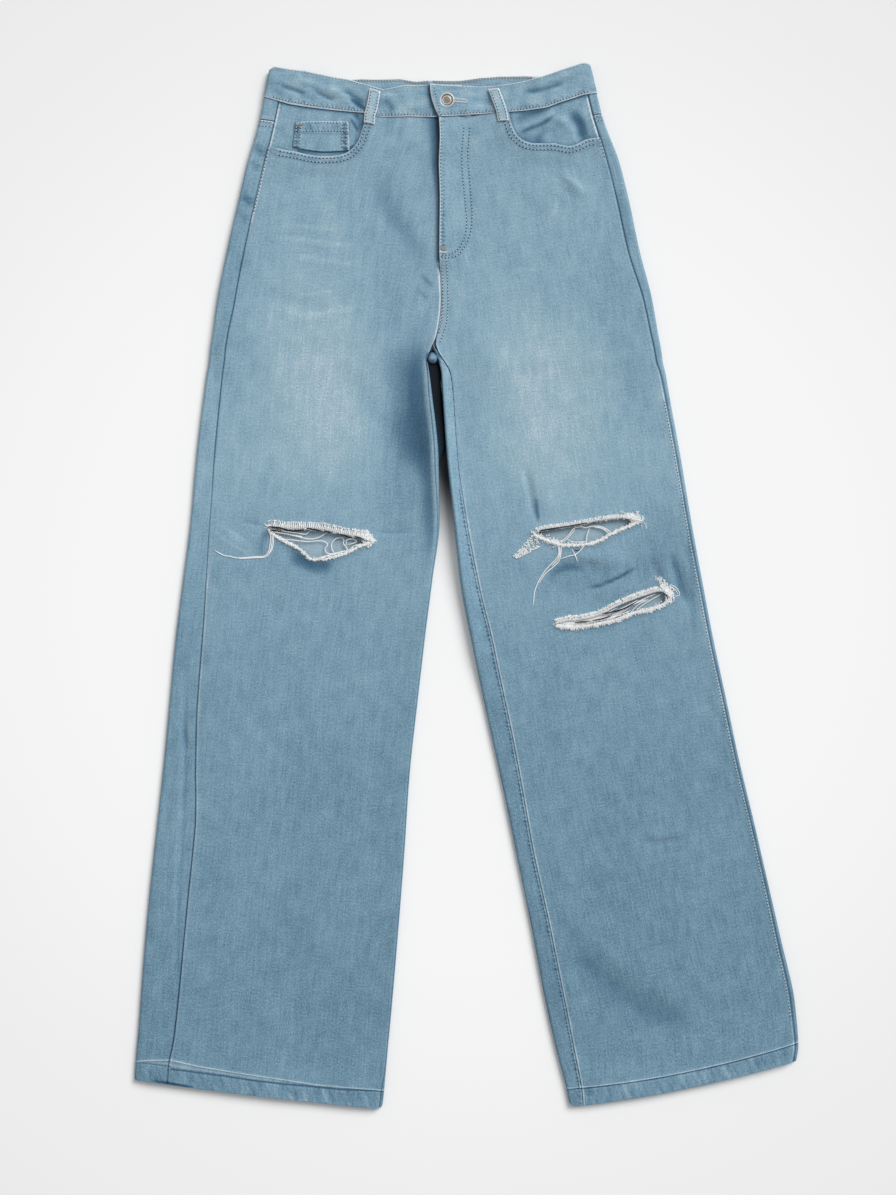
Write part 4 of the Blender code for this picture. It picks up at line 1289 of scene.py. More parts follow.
def back_pocket(side, finishes):
    """A patch pocket under the back."""
    low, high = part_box("back_pocket_" + side)
    middle, top = (low.x + high.x) / 2 / MM, high.y / MM
    under = high.z / MM

    def shape(column, row, lip):
        x = middle + (column - 0.5) * (POCKET_WIDTH - POCKET_TAPER * row)
        y = top - row * (POCKET_DEPTH + POCKET_POINT * (1 - np.abs(2 * column - 1)))
        to_side = to_ends(column, POCKET_WIDTH)
        to_end = to_ends(row, POCKET_DEPTH)
        z = under - WALL + edge_roll(to_side, 0.5) + edge_roll(to_end, 0.5)
        return x, y, z, dict(
            across=x, along=y, faded=faded(x, y) - 0.05,
            worn=0.5 * bump(to_side, 1.4) + 0.5 * bump(to_end, 1.4),
            gathered=0.5 * bump(to_side - 4, 3), roped=0.7 * (row < 0.1))

    return grid("back_pocket_" + side + "_cloth", near_ends(30, POCKET_WIDTH),
                near_ends(30, POCKET_DEPTH), shape, finishes, faces_down=True)


# Waistband, loops and button

def band_place(side, level, station):
    """Place of a station: 1 to -1 goes round the outer fold, 2 and -2 are the centres."""
    centre = centre_place(ring_at(side, level))
    far = np.sign(station) * lerp(QUARTER, centre, np.abs(station) - 1)
    return np.where(np.abs(station) <= 1, station * QUARTER, far)


BAND_RUN = 168.0          # along the band from the outer fold to the centre
BAND_DEPTH = 35


def waistband(finishes):
    """One strip: the right end carries the button and lies under the left end."""
    right = np.concatenate((
        2 + BUTTON_END / BAND_RUN * steps(14)[::-1][:-1], 1 + steps(66)[::-1][:-1],
        1 - 2 * steps(12)[:-1], -1 - steps(56)[:-1],
    ))
    left = np.concatenate((
        -2 + steps(56)[:-1], -1 + 2 * steps(12)[:-1], 1 + steps(66)[:-1] * 0.97,
        2 - np.array(EDGE_STEPS[5::-1]) / BAND_RUN,
    ))
    # a column is its station, with 10 added on the left side
    columns = np.concatenate((right, left + 10))

    def shape(column, row, lip):
        on_left = column > 5
        station = np.where(on_left, column - 10, column)
        level = lerp(BAND_TOP, WAIST - 0.006, row)
        points = []
        for side in ("right", "left"):
            place = band_place(side, level, station)
            climb = 0.0
            if side == "left":
                climb = (BAND_WALL + 0.5) * smooth((station - LAP_CLIMB[0]) / LAP_CLIMB[1])
            above = lay(side, level, place, -BAND_PROUD - climb)
            below = lay(side, level, place, -BAND_PROUD - climb, top=SWAY_BACK)
            behind = smooth((0.6 - station) / 1.2)
            points.append([lerp(a, b, behind) for a, b in zip(above, below)])
        x, y, z, flat = np.where(on_left, points[1], points[0])
        to_top, to_bottom = row * BAND_DEPTH, (1 - row) * BAND_DEPTH
        at_lap = on_left * smooth((station - 1.86) / 0.14)
        bow, lean = 12 * row * (1 - row), 1.3 * (1 - row)
        x = x - (bow + lean) * at_lap
        ring = ring_at("right", level)
        across = np.abs(x - np.where(on_left, ring_at("left", level).outer_x, ring.outer_x))
        y = y - np.where(on_left, 1.8, 3.4) * (1 - smooth(across / 7)) ** 2 * bump(to_top, 9)
        z = z + 1.6 * at_lap ** 2
        to_end = np.where(on_left, (2 - station) * BAND_RUN, (station - 2) * BAND_RUN + 500)
        front_side = station > 0.5
        roll = edge_roll(to_top, np.where(front_side, 1.1, 0.3)) + edge_roll(to_bottom, 0.6)
        roll = roll + edge_roll(to_end, 1.1)
        z = z - roll * np.clip((z - ring.lift - FOLD_RADIUS) / 2, -1, 1)
        dents = 1.7 * relief(BAND_CREASES, x, y) + 0.35 * ripple(x, y, 8, 26)
        z = z + np.where(front_side, dents, 0) * flat * smooth(to_bottom / 9)
        beside_lap = ring.inner_x - bow - lean - x
        shadow = np.where(beside_lap > -9, 1.3 * np.exp(-np.maximum(beside_lap, 0) / 3.5), 0)
        shaded = np.where(front_side, 3.2 * hollows(BAND_CREASES, x, y), 0)
        shaded = shaded + np.where(front_side & ~on_left, shadow, 0)
        worn = (np.where(front_side, 0.6, 1.0) * bump(to_top, 1.3)
                + 0.75 * bump(to_bottom - 0.8, 0.8) + 0.8 * bump(to_end - 0.8, 1.0))
        # painted light: faded carries a painted highlight on the ridges of the band's creases, and
        # shaded the painted shade of their troughs and beside the lap
        return x, y, z, dict(
            across=y, along=x + np.where(front_side, 0, 700),
            faded=band_faded(x, y) + 0.02 - 0.04 * ~front_side
            + 0.1 * front_side * np.maximum(relief(BAND_CREASES, x, y), 0),
            worn=np.clip(worn, 0, 1), shaded=np.clip(shaded, 0, 1.6),
            gathered=0.9 * bump(to_bottom - 4.6, 2.4) + 0.3 * bump(to_top - 4, 3), roped=0.25)

    rows = near_ends(16, BAND_DEPTH)
    return grid("waistband_cloth", columns, rows, shape, finishes, BAND_WALL)


Loop = namedtuple("Loop", "name side top_share bottom_share")
LOOPS = [
    Loop("belt_loop_front_right", "right", 0.66, 0.61),
    Loop("belt_loop_front_left", "left", 0.62, 0.606),
    Loop("belt_loop_back_right", "right", -0.52, -0.52),
    Loop("belt_loop_back_left", "left", -0.52, -0.52),
    Loop("belt_loop_back_centre", "right", -1.0, -1.0),
]
LOOP_WIDTH = 11.5
LOOP_ENDS = (0.12, 1.42)  # levels


def loop_middle(loop, level):
    """Place of a loop's middle at each level."""
    share = lerp(loop.top_share, loop.bottom_share, np.clip(level, 0, 1))
    return share * band_place(loop.side, level, np.full(level.shape, 2.0))


def belt_loop(loop, finishes):
    """A strip flat over the waistband, its tail on the cloth below."""
    in_front = loop.top_share > 0

    def shape(column, row, lip):
        level = lerp(*LOOP_ENDS, row)
        place = loop_middle(loop, level) + (column - 0.5) * LOOP_WIDTH
        stand = LAYER + BAND_PROUD + (1.6 if in_front else 0.1)
        arch = 0.9 * smooth(row / 0.25) * smooth((0.86 - row) / 0.25) if in_front else 0.0
        x, y, z, _ = lay(loop.side, level, place, -stand - arch)
        to_side = to_ends(column, LOOP_WIDTH)
        to_end = to_ends(row, 44)
        roll = edge_roll(to_side, 0.7, 1.5) + edge_roll(to_end, 0.6, 1.5)
        z = z - roll if in_front else z + roll
        return x, y, z, dict(
            across=place, along=y, faded=faded(x, y) + 0.2,
            worn=0.15 + 0.7 * bump(to_side, 1.0) + 0.5 * bump(to_end, 1.2),
            shaded=0.35 * bump(row - 0.88, 0.03), gathered=0.12)

    return grid(loop.name + "_cloth", near_ends(6, LOOP_WIDTH, [0, 0.4, 0.9, 1.6, 2.5]),
                near_ends(22, 42), shape, finishes, faces_down=not in_front)


BUTTON_DOWN = 2.2         # how far the cap sits below the middle of its hole


def button_size():
    """The button's middle, in x and y, its radius and the heights of its ends."""
    low, high = (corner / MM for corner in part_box("button"))
    x, y = (low.x + high.x) / 2, (low.y + high.y) / 2 - BUTTON_DOWN
    return x, y, (high.x - low.x) / 2, (low.z, high.z)


def button(finish):
    """A shank button: a ringed cap with a rolled rim, on a post through the buttonhole."""
    x, y, radius, (seat, top) = button_size()
    profile = [
        (0, seat), (2.6, seat), (2.6, top - 2.0), (radius - 0.6, top - 1.9),
        (radius - 0.1, top - 1.5), (radius, top - 1.0), (radius - 0.25, top - 0.45),
        (radius - 0.8, top - 0.2), (radius - 1.35, top - 0.4), (radius - 1.7, top - 0.95),
        (radius - 2.1, top - 1.15), (radius - 2.5, top - 0.9), (radius - 2.8, top - 0.6),
        (radius - 3.1, top - 0.6), (radius - 3.35, top - 0.85), (radius - 3.7, top - 0.85),
        (radius - 4.1, top - 0.55), (radius - 5.0, top - 0.5), (radius - 5.5, top - 0.72),
        (radius - 6.0, top - 0.6), (0, top - 0.55),
    ]
    bm = bmesh.new()
    verts = [bm.verts.new((across, 0, height)) for across, height in profile]
    edges = [bm.edges.new(pair) for pair in zip(verts, verts[1:])]
    bmesh.ops.spin(bm, geom=verts + edges, axis=(0, 0, 1), cent=(0, 0, 0),
                   angle=2 * math.pi, steps=48, use_merge=True)
    bmesh.ops.remove_doubles(bm, verts=list(bm.verts), dist=1e-4)
    bmesh.ops.recalc_face_normals(bm, faces=list(bm.faces))
    bmesh.ops.translate(bm, verts=list(bm.verts), vec=(x, y, 0))
    bmesh.ops.scale(bm, verts=list(bm.verts), vec=(MM, MM, MM))
    return sew_on("button_cap", mesh_of(bm, "button_cap"), [finish], 0)


# Yarns: sewing, frays and loose threads

def yarns(name, finishes, strands, radius, sides=0):
    """Yarns as one piece. A strand is its points, how thick it is at each as a share of the
    radius, and which of the finishes it has."""
    line = bpy.data.curves.new(name, "CURVE")
    line.dimensions = "3D"
    line.bevel_depth = radius * MM
    line.bevel_resolution = sides
    line.use_fill_caps = True
    for finish in finishes:
        line.materials.append(finish)
    for points, thickness, finish in strands:
        spline = line.splines.new("POLY")
        spline.points.add(len(points) - 1)
        spline.material_index = finish
        spline.use_smooth = True
        for point, place, share in zip(spline.points, points, thickness):
            point.co = (place[0] * MM, place[1] * MM, place[2] * MM, 1)
            point.radius = share
    piece = placed(name, line)
    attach(piece, "root")
    return piece


def surface(*pieces):
    """The finished surfaces of pieces, to look for heights on."""
    graph = bpy.context.evaluated_depsgraph_get()
    return [BVHTree.FromObject(piece, graph) for piece in pieces]


def height_at(cloth, x, y, below=False):
    """Height of the topmost cloth at a place, or of the lowest one where it is seen from
    below; None where there is no cloth."""
    way = 1 if below else -1
    start = Vector((x * MM, y * MM, -way * 0.1))
    hits = [tree.ray_cast(start, Vector((0, 0, way)))[0] for tree in cloth]
    heights = [hit.z / MM for hit in hits if hit]
    if not heights:
        return None
    return min(heights) if below else max(heights)


# the second thread is dark yarn that stands for the painted shade of the needle's dimples, and of
# rows sunk in their grooves
PALE, STITCH_SHADE, BROWN = range(3)                  # which thread a stitch is of
IN_GROOVE = {"thread": STITCH_SHADE, "mark": None}    # sunk so deep that only their dark shows
HEM_ROW = HEM_LINE - 0.045


def stitches(cloth, line, pitch=3.4, length=2.2, below=False, thread=PALE, mark=STITCH_SHADE):
    """A row of stitches, each with a dark dash of painted shade after it, where the needle's dimple
    lies.
    """
    run = np.concatenate(([0], np.cumsum(np.linalg.norm(np.diff(line, axis=0), axis=1))))
    count = int(run[-1] // pitch)
    made = []
    out, pressed = (-1, 0.45) if below else (1, 0)
    for i in range(count):
        start = i * pitch + 0.4
        for low, high, lifts, thick, finish in (
            (start, start + length, (-0.25, 0.22, 0.22, -0.25), (0.8, 1, 1, 0.8), thread),
            (start + length, start + pitch, (-0.3, 0.05, 0.05, -0.3), (1.1, 1.5, 1.5, 1.1), mark),
        ):
            if finish is None:
                continue
            at = np.array([low, lerp(low, high, 0.3), lerp(low, high, 0.7), high])
            x, y = np.interp(at, run, line[:, 0]), np.interp(at, run, line[:, 1])
            heights = [height_at(cloth, *place, below) for place in zip(x, y)]
            if None in heights or max(heights) - min(heights) > 1.2:
                continue
            z = np.array(heights) + out * (np.array(lifts) - pressed)
            made.append((np.stack([x, y, z], axis=1), thick, finish))
    return made


def bar_tack(cloth, start, end, width, below=False, thread=PALE):
    """Close stitches side by side from start to end."""
    start, end = np.array(start, float), np.array(end, float)
    along = (end - start) / np.linalg.norm(end - start)
    side = np.array([-along[1], along[0]])
    made = []
    for share in np.arange(0, np.linalg.norm(end - start), 0.75):
        middle = start + along * share
        points = []
        for off, lift in ((-0.5, -0.2), (-0.3, 0.4), (0.3, 0.4), (0.5, -0.2)):
            x, y = middle + side * width * off + along * 0.25 * np.sign(off)
            height = height_at(cloth, x, y, below)
            if height is not None:
                points.append((x, y, height + (0.55 - lift if below else lift)))
        if len(points) == 4:
            made.append((points, (0.8, 1, 1, 0.8), thread))
    return made


def on_ring(side, place_at, first, last, count=240):
    """A line along the garment, from one level to another, where place_at(ring) says."""
    level = np.linspace(first, last, count)
    return line_at(side, level, place_at(ring_at(side, level)))


def beside_outseam(side, offset, first, last, count=240):
    return on_ring(side, lambda ring: front_start(ring) + offset, first, last, count)


def on_back(side, column, level):
    """Points of a back's columns at a level, and their heights."""
    x, y, z, _ = lay(side, level, -back_place(side, column, level))
    return np.stack([x, y], axis=1), z


def straight(points, pitch=2):
    """Points at even distances along straight runs."""
    return spaced(np.array(points, float), pitch)


def front_sewing(side, cloth):
    """Rows round the pocket mouth, over the hem and beside the outseam, and the left front's
    own, on the fly and down the rise."""
    right = side == "right"
    rows = []
    mouth = curve(MOUTHS[side], 1.0)
    for offset in (2.8, 7.0):
        rows += stitches(cloth, beside(mouth, -offset * AWAY[side])[2:], 3.8, 1.9)
    ring = ring_at(side, np.array([HEM_LINE]))
    ends = front_start(ring)[0] + 1, inner_end(ring, FRONT)[0] - 1
    hem = line_at(side, HEM_ROW, np.linspace(*ends, 160))
    if right:
        hem[:, 1] -= read(GROOVE_LOWER, hem[:, 0])
    rows += stitches(cloth, hem, **IN_GROOVE)
    if not right:
        edge = on_ring(side, lambda ring: inner_end(ring, FRONT) - FLY_EDGE_ROW, WAIST + 0.1, 7)
        rows += stitches(cloth, edge, 3.6)
        for line in J_ROWS:
            rows += stitches(cloth, curve(line, 1.0), 3.5, 2.0)
        rise = curve(RISE_ROWS, 1.0)
        rows += stitches(cloth, rise)
        rows += stitches(cloth, beside(rise, 5.2))
        rows += bar_tack(cloth, (-24.4, 354.6), (-24.4, 351.4), 7.0, thread=BROWN)
        rows += bar_tack(cloth, (-28, 348.6), (-20, 348.6), 1.6)
    rows += stitches(cloth, beside_outseam(side, 1.6, 2.4, 4.4 if right else 3), 3.6, 2.3)
    if right:
        spot = beside_outseam(side, 1.2, 4.3, 4.5, 3)
        return rows + bar_tack(cloth, spot[0], spot[-1], 1.5)
    return rows + stitches(cloth, beside_outseam(side, 1.8, 11, 21.3, 500))


def back_sewing(side, cloth):
    """Rows down the left inseam's strip and the centre, under the yoke and over the hem."""
    rows = []
    if side == "left":
        strip = on_ring(side, lambda ring: inner_end(ring, FRONT) + 2.6, 12.5, HEM_LINE, 400)
        rows += stitches(cloth, strip, 3.6, 2.3, **IN_GROOVE)
    centre = on_ring(side, lambda ring: -(inner_end(ring, BACK) - 2.0), 4, RISE, 60)
    for line in (centre, beside(centre, -5 * AWAY[side])):
        rows += stitches(cloth, line, 3.6, 2.3, below=True)
    column = np.linspace(0.05, 4.95, 300)
    under_yoke = yoke_level(column) + 2.2 / LEVEL_PITCH
    for level in (under_yoke, under_yoke + 5 / LEVEL_PITCH):
        line, height = on_back(side, column, level)
        rows += stitches(cloth, line[height > 4])
        rows += stitches(cloth, line[height < 3], below=True)
    line, height = on_back(side, column, np.full(len(column), HEM_ROW))
    for half in (column < 2.5, column > 2.5):
        rows += stitches(cloth, line[(height > 4) & half], **IN_GROOVE)
    return rows + stitches(cloth, line[height < 3], below=True)


def back_pocket_sewing(side, cloth):
    """Two rows round a back pocket, two over its hem and a bar tack at each upper corner."""
    low, high = (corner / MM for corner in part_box("back_pocket_" + side))
    middle, top = (low.x + high.x) / 2, high.y
    rows = []
    for inset in (1.8, 6.8):
        half, taper = POCKET_WIDTH / 2 - inset, POCKET_TAPER / 2
        bottom = top - POCKET_DEPTH + inset
        rows += stitches(cloth, straight([
            (middle - half, top - 1), (middle - half + taper, bottom),
            (middle, bottom - POCKET_POINT), (middle + half - taper, bottom),
            (middle + half, top - 1)]), below=True)
    for inset in (2.0, 14.0):
        ends = [(middle + way * (POCKET_WIDTH / 2 - 2), top - inset) for way in (-1, 1)]
        rows += stitches(cloth, straight(ends), below=True)
    for way in (-1, 1):
        x = middle + way * (POCKET_WIDTH / 2 - 4)
        rows += bar_tack(cloth, (x - 3, top - 2.5), (x + 3, top - 2.5), 2.4, True)
    return rows


def coin_sewing(cloth):
    """Two rows under the coin pocket's upper edge, two down each side and a bar tack."""
    top = curve(COIN_TOP, 1)
    rows = []
    for offset in (1.8, 10.5):
        rows += stitches(cloth, beside(top, -offset)[2:-2], 3.2, 2.0)
    for offset in (2.0, 6.5, 50.0, 54.5):
        ends = [(-179.5 + offset, 484.5), (-182 + offset * 1.03, 458)]
        rows += stitches(cloth, straight(ends, 1), 3.2, 2.0)
    return rows + bar_tack(cloth, (-178, 482.4), (-170.5, 482.8), 2.0, thread=BROWN)


def band_line(side, level, first, last, top=SWAY_TOP):
    """A line along the waistband, from one station to another."""
    place = band_place(side, level, np.linspace(first, last, 160))
    return line_at(side, level, place, -BAND_PROUD, top)


def band_sewing(cloth):
    """Rows along the waistband's edges, in front and behind, and round the buttonhole."""
    rows = []
    for side in SIDES:
        for level, thread, mark in ((0.045, BROWN, None), (0.915, PALE, STITCH_SHADE)):
            line = band_line(side, level, 1.02, 1.985)
            rows += stitches(cloth, line, 3.3, 2.1, thread=thread, mark=mark)
            behind = band_line(side, level, -1.05, -2)
            rows += stitches(cloth, behind, 3.3, 2.1, below=True, thread=thread)
        for level in (0.025, 0.06):
            inner = band_line(side, level, -1.35, -2, top=SWAY_BACK)
            low = [place for place in inner if (height_at(cloth, *place) or 9) < 5.5]
            if len(low) > 4:
                rows += stitches(cloth, np.array(low), 3.0, thread=BROWN, mark=None)
    level = np.linspace(0.06, 0.96, 40)
    lap = line_at("left", level, band_place("left", level, np.full(40, 1.988)))
    rows += stitches(cloth, lap, 3.2, 2.1)
    x, y, _, _ = button_size()
    for off in (1.35, -1.35):
        rows += bar_tack(cloth, (x + 7, y + off), (x + 20, y + off - 1.2), 2.0)
    return rows + bar_tack(cloth, (x + 20.3, y - 2.8), (x + 20.6, y + 0.8), 1.8)


def loop_sewing(loop, cloth):
    """Two rows down a loop and a bar tack at each end."""
    hidden = loop.top_share < 0
    level = np.linspace(*LOOP_ENDS, 60)
    lines = [line_at(loop.side, level, loop_middle(loop, level) + off)[2:-2]
             for off in (-3.9, 3.9)]
    rows = []
    for line in lines:
        rows += stitches(cloth, line, 3.2, 2.0, below=hidden)
    for end in (0, -1):
        rows += bar_tack(cloth, lines[0][end], lines[1][end], 1.8, below=hidden)
    return rows


def sewing(pieces, finishes):
    """Every row of stitches that shows, by the piece that it is sewn into."""
    cloths = {node: surface(piece) for node, piece in pieces.items()}
    rows = {}
    for side in SIDES:
        for kind, sewn in (("front_", front_sewing), ("back_", back_sewing),
                           ("back_pocket_", back_pocket_sewing)):
            rows[kind + side] = sewn(side, cloths[kind + side])
    rows["coin_pocket"] = coin_sewing(cloths["coin_pocket"])
    rows["waistband"] = band_sewing(cloths["waistband"])
    for loop in LOOPS:
        rows[loop.name] = loop_sewing(loop, cloths[loop.name])
    return {node: yarns(node + "_stitching", finishes, strands,
                        0.4 if node.startswith(("coin", "belt")) else 0.42)
            for node, strands in rows.items()}


# Frays and loose threads of the rips, and dark strands of painted shade in their gaps

BARE, SHADED, DEEP = range(3)     # which yarn a strand is of
CHANCE = random.Random(41)        # draws every frayed yarn, in one order


def lip_yarns(cloth, line, reach, away, pitch, thickness):
    """Cut yarn ends in a row, folded over a rip's edge onto the cloth beside it, with thinner
    hairs between them, one of them in their shadow."""
    line = spaced(line, pitch / 3)
    out = beside(line, away)
    made = []
    for i, (edge, far) in enumerate(zip(line, out)):
        heading = (far - edge) / np.linalg.norm(far - edge)
        across = np.array([-heading[1], heading[0]])
        thick = i % 3 == 0
        long = reach * (CHANCE.uniform(0.82, 1.06) if thick else CHANCE.uniform(0.6, 1.25))
        height = height_at(cloth, *(edge + heading * reach * 0.6))
        if height is None:
            continue
        skew = CHANCE.uniform(-0.7, 0.7) * (1 if thick else 2)
        size = thickness * CHANCE.uniform(0.75, 1.1) if thick else 0.75
        rise = CHANCE.uniform(0.8, 1.1)
        points = []
        for run, lift in ((1.0, -0.1), (0.85, 0.5), (0.5, 0.95), (0.12, 0.8), (-0.08, 0.1),
                          (-0.16, -0.8)):
            place = edge + heading * long * run + across * skew * (run - 0.3)
            points.append((*place, height + lift * rise + (0 if thick else 0.35)))
        finish = SHADED if i % 3 == 1 else BARE
        made.append((points, np.array((0.4, 0.9, 1.0, 1.0, 0.85, 0.5)) * size, finish))
    return made


def fuzz(cloth, line, reach, away, count):
    """Short curled yarn ends scattered along a line."""
    made = []
    for _ in range(count):
        i = CHANCE.randrange(len(line) - 1)
        edge = lerp(line[i], line[i + 1], CHANCE.random())
        heading = CHANCE.gauss(math.pi / 2 * away, 0.75)
        run = line[i + 1] - line[i]
        tilt = math.atan2(run[1], run[0]) + heading
        step = np.array([math.cos(tilt), math.sin(tilt)])
        side = np.array([-step[1], step[0]]) * CHANCE.uniform(-1.4, 1.4)
        long = reach * CHANCE.uniform(0.4, 1.25)
        base = height_at(cloth, *(edge + step * long * 0.7))
        base = 5.5 if base is None else base
        points = []
        for share, bow, lift in ((-0.2, 0, 0.0), (0.2, 0.6, 1.0), (0.6, 0.9, 1.3), (1.0, 0.2, 0.3)):
            place = edge + step * long * share + side * bow
            points.append((*place, base + lift))
        made.append((points, (0.7, 1, 0.9, 0.5), BARE))
    return made


def knots(cloth, corners, count, size):
    """Small yarn loops standing up all over a worn patch."""
    corners = np.array(corners, float)
    made = []
    while len(made) < count:
        shares = [CHANCE.random() + 0.05 for _ in corners]
        x, y = np.average(corners, axis=0, weights=np.array(shares) ** 3)
        height = height_at(cloth, x, y)
        if height is None:
            height = 5.5
        turn, wide = CHANCE.uniform(0, 2 * math.pi), size * CHANCE.uniform(0.6, 1.2)
        points = [(x + wide * math.cos(turn + step) * 0.7, y + wide * math.sin(turn + step) * 0.7,
                   height + lift) for step, lift in ((0, -0.3), (1.2, 0.7), (2.4, 0.9), (3.8, 0.6),
                                                     (4.8, -0.2))]
        made.append((points, (0.8, 1, 1, 1, 0.8), BARE))
    return made


def knots_along(cloth, line, spread, count):
    """Small yarn loops along a line, scattered to both sides of it."""
    made = []
    for _ in range(count):
        x, y = line[CHANCE.randrange(len(line))] + np.array(
            [CHANCE.gauss(0, spread), CHANCE.gauss(0, spread)])
        spot = [(x + off_x, y + off_y) for off_x, off_y in ((0.1, 0), (-0.1, 0.1), (0, -0.1))]
        made += knots(cloth, spot, 1, 0.9)
    return made


def strands_between(cloth, upper, lower, first, last, count):
    """Warp yarns left lying across a slit, from one of its ends towards the other."""
    made = []
    for i in range(count):
        share, drift = (i + 0.5) / count, CHANCE.uniform(-0.25, 0.35)
        start = first + CHANCE.uniform(0, 0.12) * (last - first)
        end = last - CHANCE.uniform(0, 0.45) * (last - first)
        route = []
        for run in (0, 0.25, 0.5, 0.75, 1):
            x = lerp(start, end, run)
            low, high = np.interp(x, *np.transpose(lower)), np.interp(x, *np.transpose(upper))
            across = np.clip(share + drift * run + CHANCE.uniform(-0.08, 0.08), 0.02, 0.98)
            route.append((x, lerp(low, high, across)))
        floating = 4.4 + CHANCE.uniform(-0.8, 0.8)
        made.append(loose(cloth, route, floating, CHANCE.uniform(0.8, 1.4)))
    return made


def loose(cloth, route, floating, thickness, finish=BARE):
    """A loose thread along a route: it lies on whatever is under it, or spans what is low."""
    line = curve(route, 1.6)
    heights = np.array([height_at(cloth, *place) or 0 for place in line])
    height = np.maximum(heights, floating)
    for _ in range(3):
        height[1:-1] = (height[:-2] + 2 * height[1:-1] + height[2:]) / 4
    height = np.maximum(height, heights) + 0.5
    ends = np.minimum(np.arange(len(line)), np.arange(len(line))[::-1])
    thick = thickness * np.clip(0.55 + ends * 0.15, 0, 1)
    points = np.concatenate((line, height[:, None]), axis=1)
    return (points, thick, finish)


# loose threads along routes; with the deep yarn, dark strands that stand for painted shade
def hanging(cloth, routes, floating, thickness, finish=BARE):
    return [loose(cloth, route, floating, thickness, finish) for route in routes]


LOOSE_RIGHT_KNEE = [
    [(-212, 65), (-206, 59.5), (-205.5, 47.5), (-207.5, 36.5), (-212, 31.2), (-222, 30.5),
     (-239.5, 29.2), (-248, 31), (-254.5, 32), (-264, 37.2)],
    [(-211, 64), (-204.5, 58), (-203.8, 47), (-206, 36), (-211, 30.2), (-223, 29.4), (-238, 28.4)],
    [(-208, 63), (-203, 57), (-202.3, 48), (-204, 38), (-208.5, 32)],
    [(-207.5, 60.6), (-197, 58.6), (-186, 56.6), (-175.5, 55.2), (-168.5, 54.2), (-164.5, 57.5)],
    [(-205, 56), (-191.5, 55), (-178, 52), (-164.5, 49.2), (-155.5, 50.6), (-146, 56)],
    [(-205, 58), (-196, 55.8), (-184, 53.6), (-172, 51.8)],
    [(-205, 54), (-194, 49.2), (-181, 48), (-166, 46.5), (-155.5, 47.3), (-148.6, 46.5),
     (-145.8, 43.3), (-148.6, 38.5), (-144.6, 33.8), (-135, 34.5), (-126, 36.5)],
    [(-129, 50.4), (-136.5, 49.8), (-141.3, 44.4), (-141.3, 39), (-137.8, 33.7)],
    [(-131, 51), (-128.5, 48), (-129.2, 44.5), (-125.8, 40.5), (-125.8, 35.2), (-134, 32.6)],
    [(-126, 43), (-125.8, 48), (-120.4, 49.2), (-115.1, 47.3), (-119.2, 44.5), (-124.4, 43.3)],
    [(-159.5, 27.5), (-148.6, 30.5), (-138, 33.2), (-126, 35.2), (-118, 41.9), (-107, 44.5)],
    [(-157, 29), (-147, 31.6), (-137, 34.5), (-127, 37)],
]
LOOSE_LEFT_KNEE = [
    [(67, 58), (72.6, 52.6), (80.6, 49.2), (91.4, 46.5), (100.7, 47.9), (107.4, 54),
     (112.8, 60.6), (120.8, 62), (126.1, 60.6)],
    [(69, 56), (75, 51), (82, 48), (91.4, 45.2), (101.5, 46.4), (108.6, 53), (113.6, 59.2)],
    [(125, 60.8), (131.5, 62.6), (141, 62), (149, 58), (153, 54.6)],
    [(134, 61.5), (141, 60.6), (147, 57), (150, 53.5)],
    [(120.8, 64), (126, 65.3), (129.5, 68)],
    [(128.8, 60.6), (126.1, 52.6), (124.8, 44.5), (115.4, 33.8), (107.4, 31.2), (99.3, 28.5)],
    [(110, 39.2), (113.4, 32.6), (116, 25.8)],
    [(95.3, 44), (96.7, 35.2), (94, 28.5), (87.3, 21.7), (80.6, 13.8), (75.3, 4.4), (71.2, -6.3),
     (70, -20.4)],
    [(99.3, 43), (98.7, 33.8), (96.7, 25.8), (90.6, 19.7), (82, 12.4), (76, 3)],
    [(97.3, 43.6), (97.6, 34.5), (95.3, 27.2), (89, 20.8)],
    [(106, 48.6), (111.4, 46), (120.8, 46), (126, 47.3)],
]
LOOSE_LEFT_SHIN = [
    [(93, -38.5), (110, -38.7), (126, -37.4), (142, -33.4), (157, -29.1), (174, -19.7),
     (188, -14.2)],
    [(95, -44), (110, -39.8), (126, -38.7), (142, -35.4), (155.5, -31.1), (169, -23.7),
     (176, -16.5)],
    [(94, -41), (112, -41.2), (130, -38.6), (148, -34)],
    [(98, -37.6), (116, -37), (132, -34.4), (150, -28)],
    [(128, -36.2), (146, -31), (162, -24), (180, -14.5)],
    [(170.3, -31), (174.4, -25), (180, -19.6), (190.5, -14)],
    [(175.7, -27.7), (185, -19.7), (196, -13), (203, -9)],
    [(178, -17.4), (188, -12.5), (198, -8.5)],
    [(213.2, 1.7), (220, -2.3), (223.2, -9), (218.5, -11)],
    [(211, 0), (218, -3.4), (221.4, -8.5)],
    [(204, -4), (209, -7), (212, -13), (212, -19)],
    [(206, -2), (211.5, -6), (214.5, -13), (213.5, -20)],
]


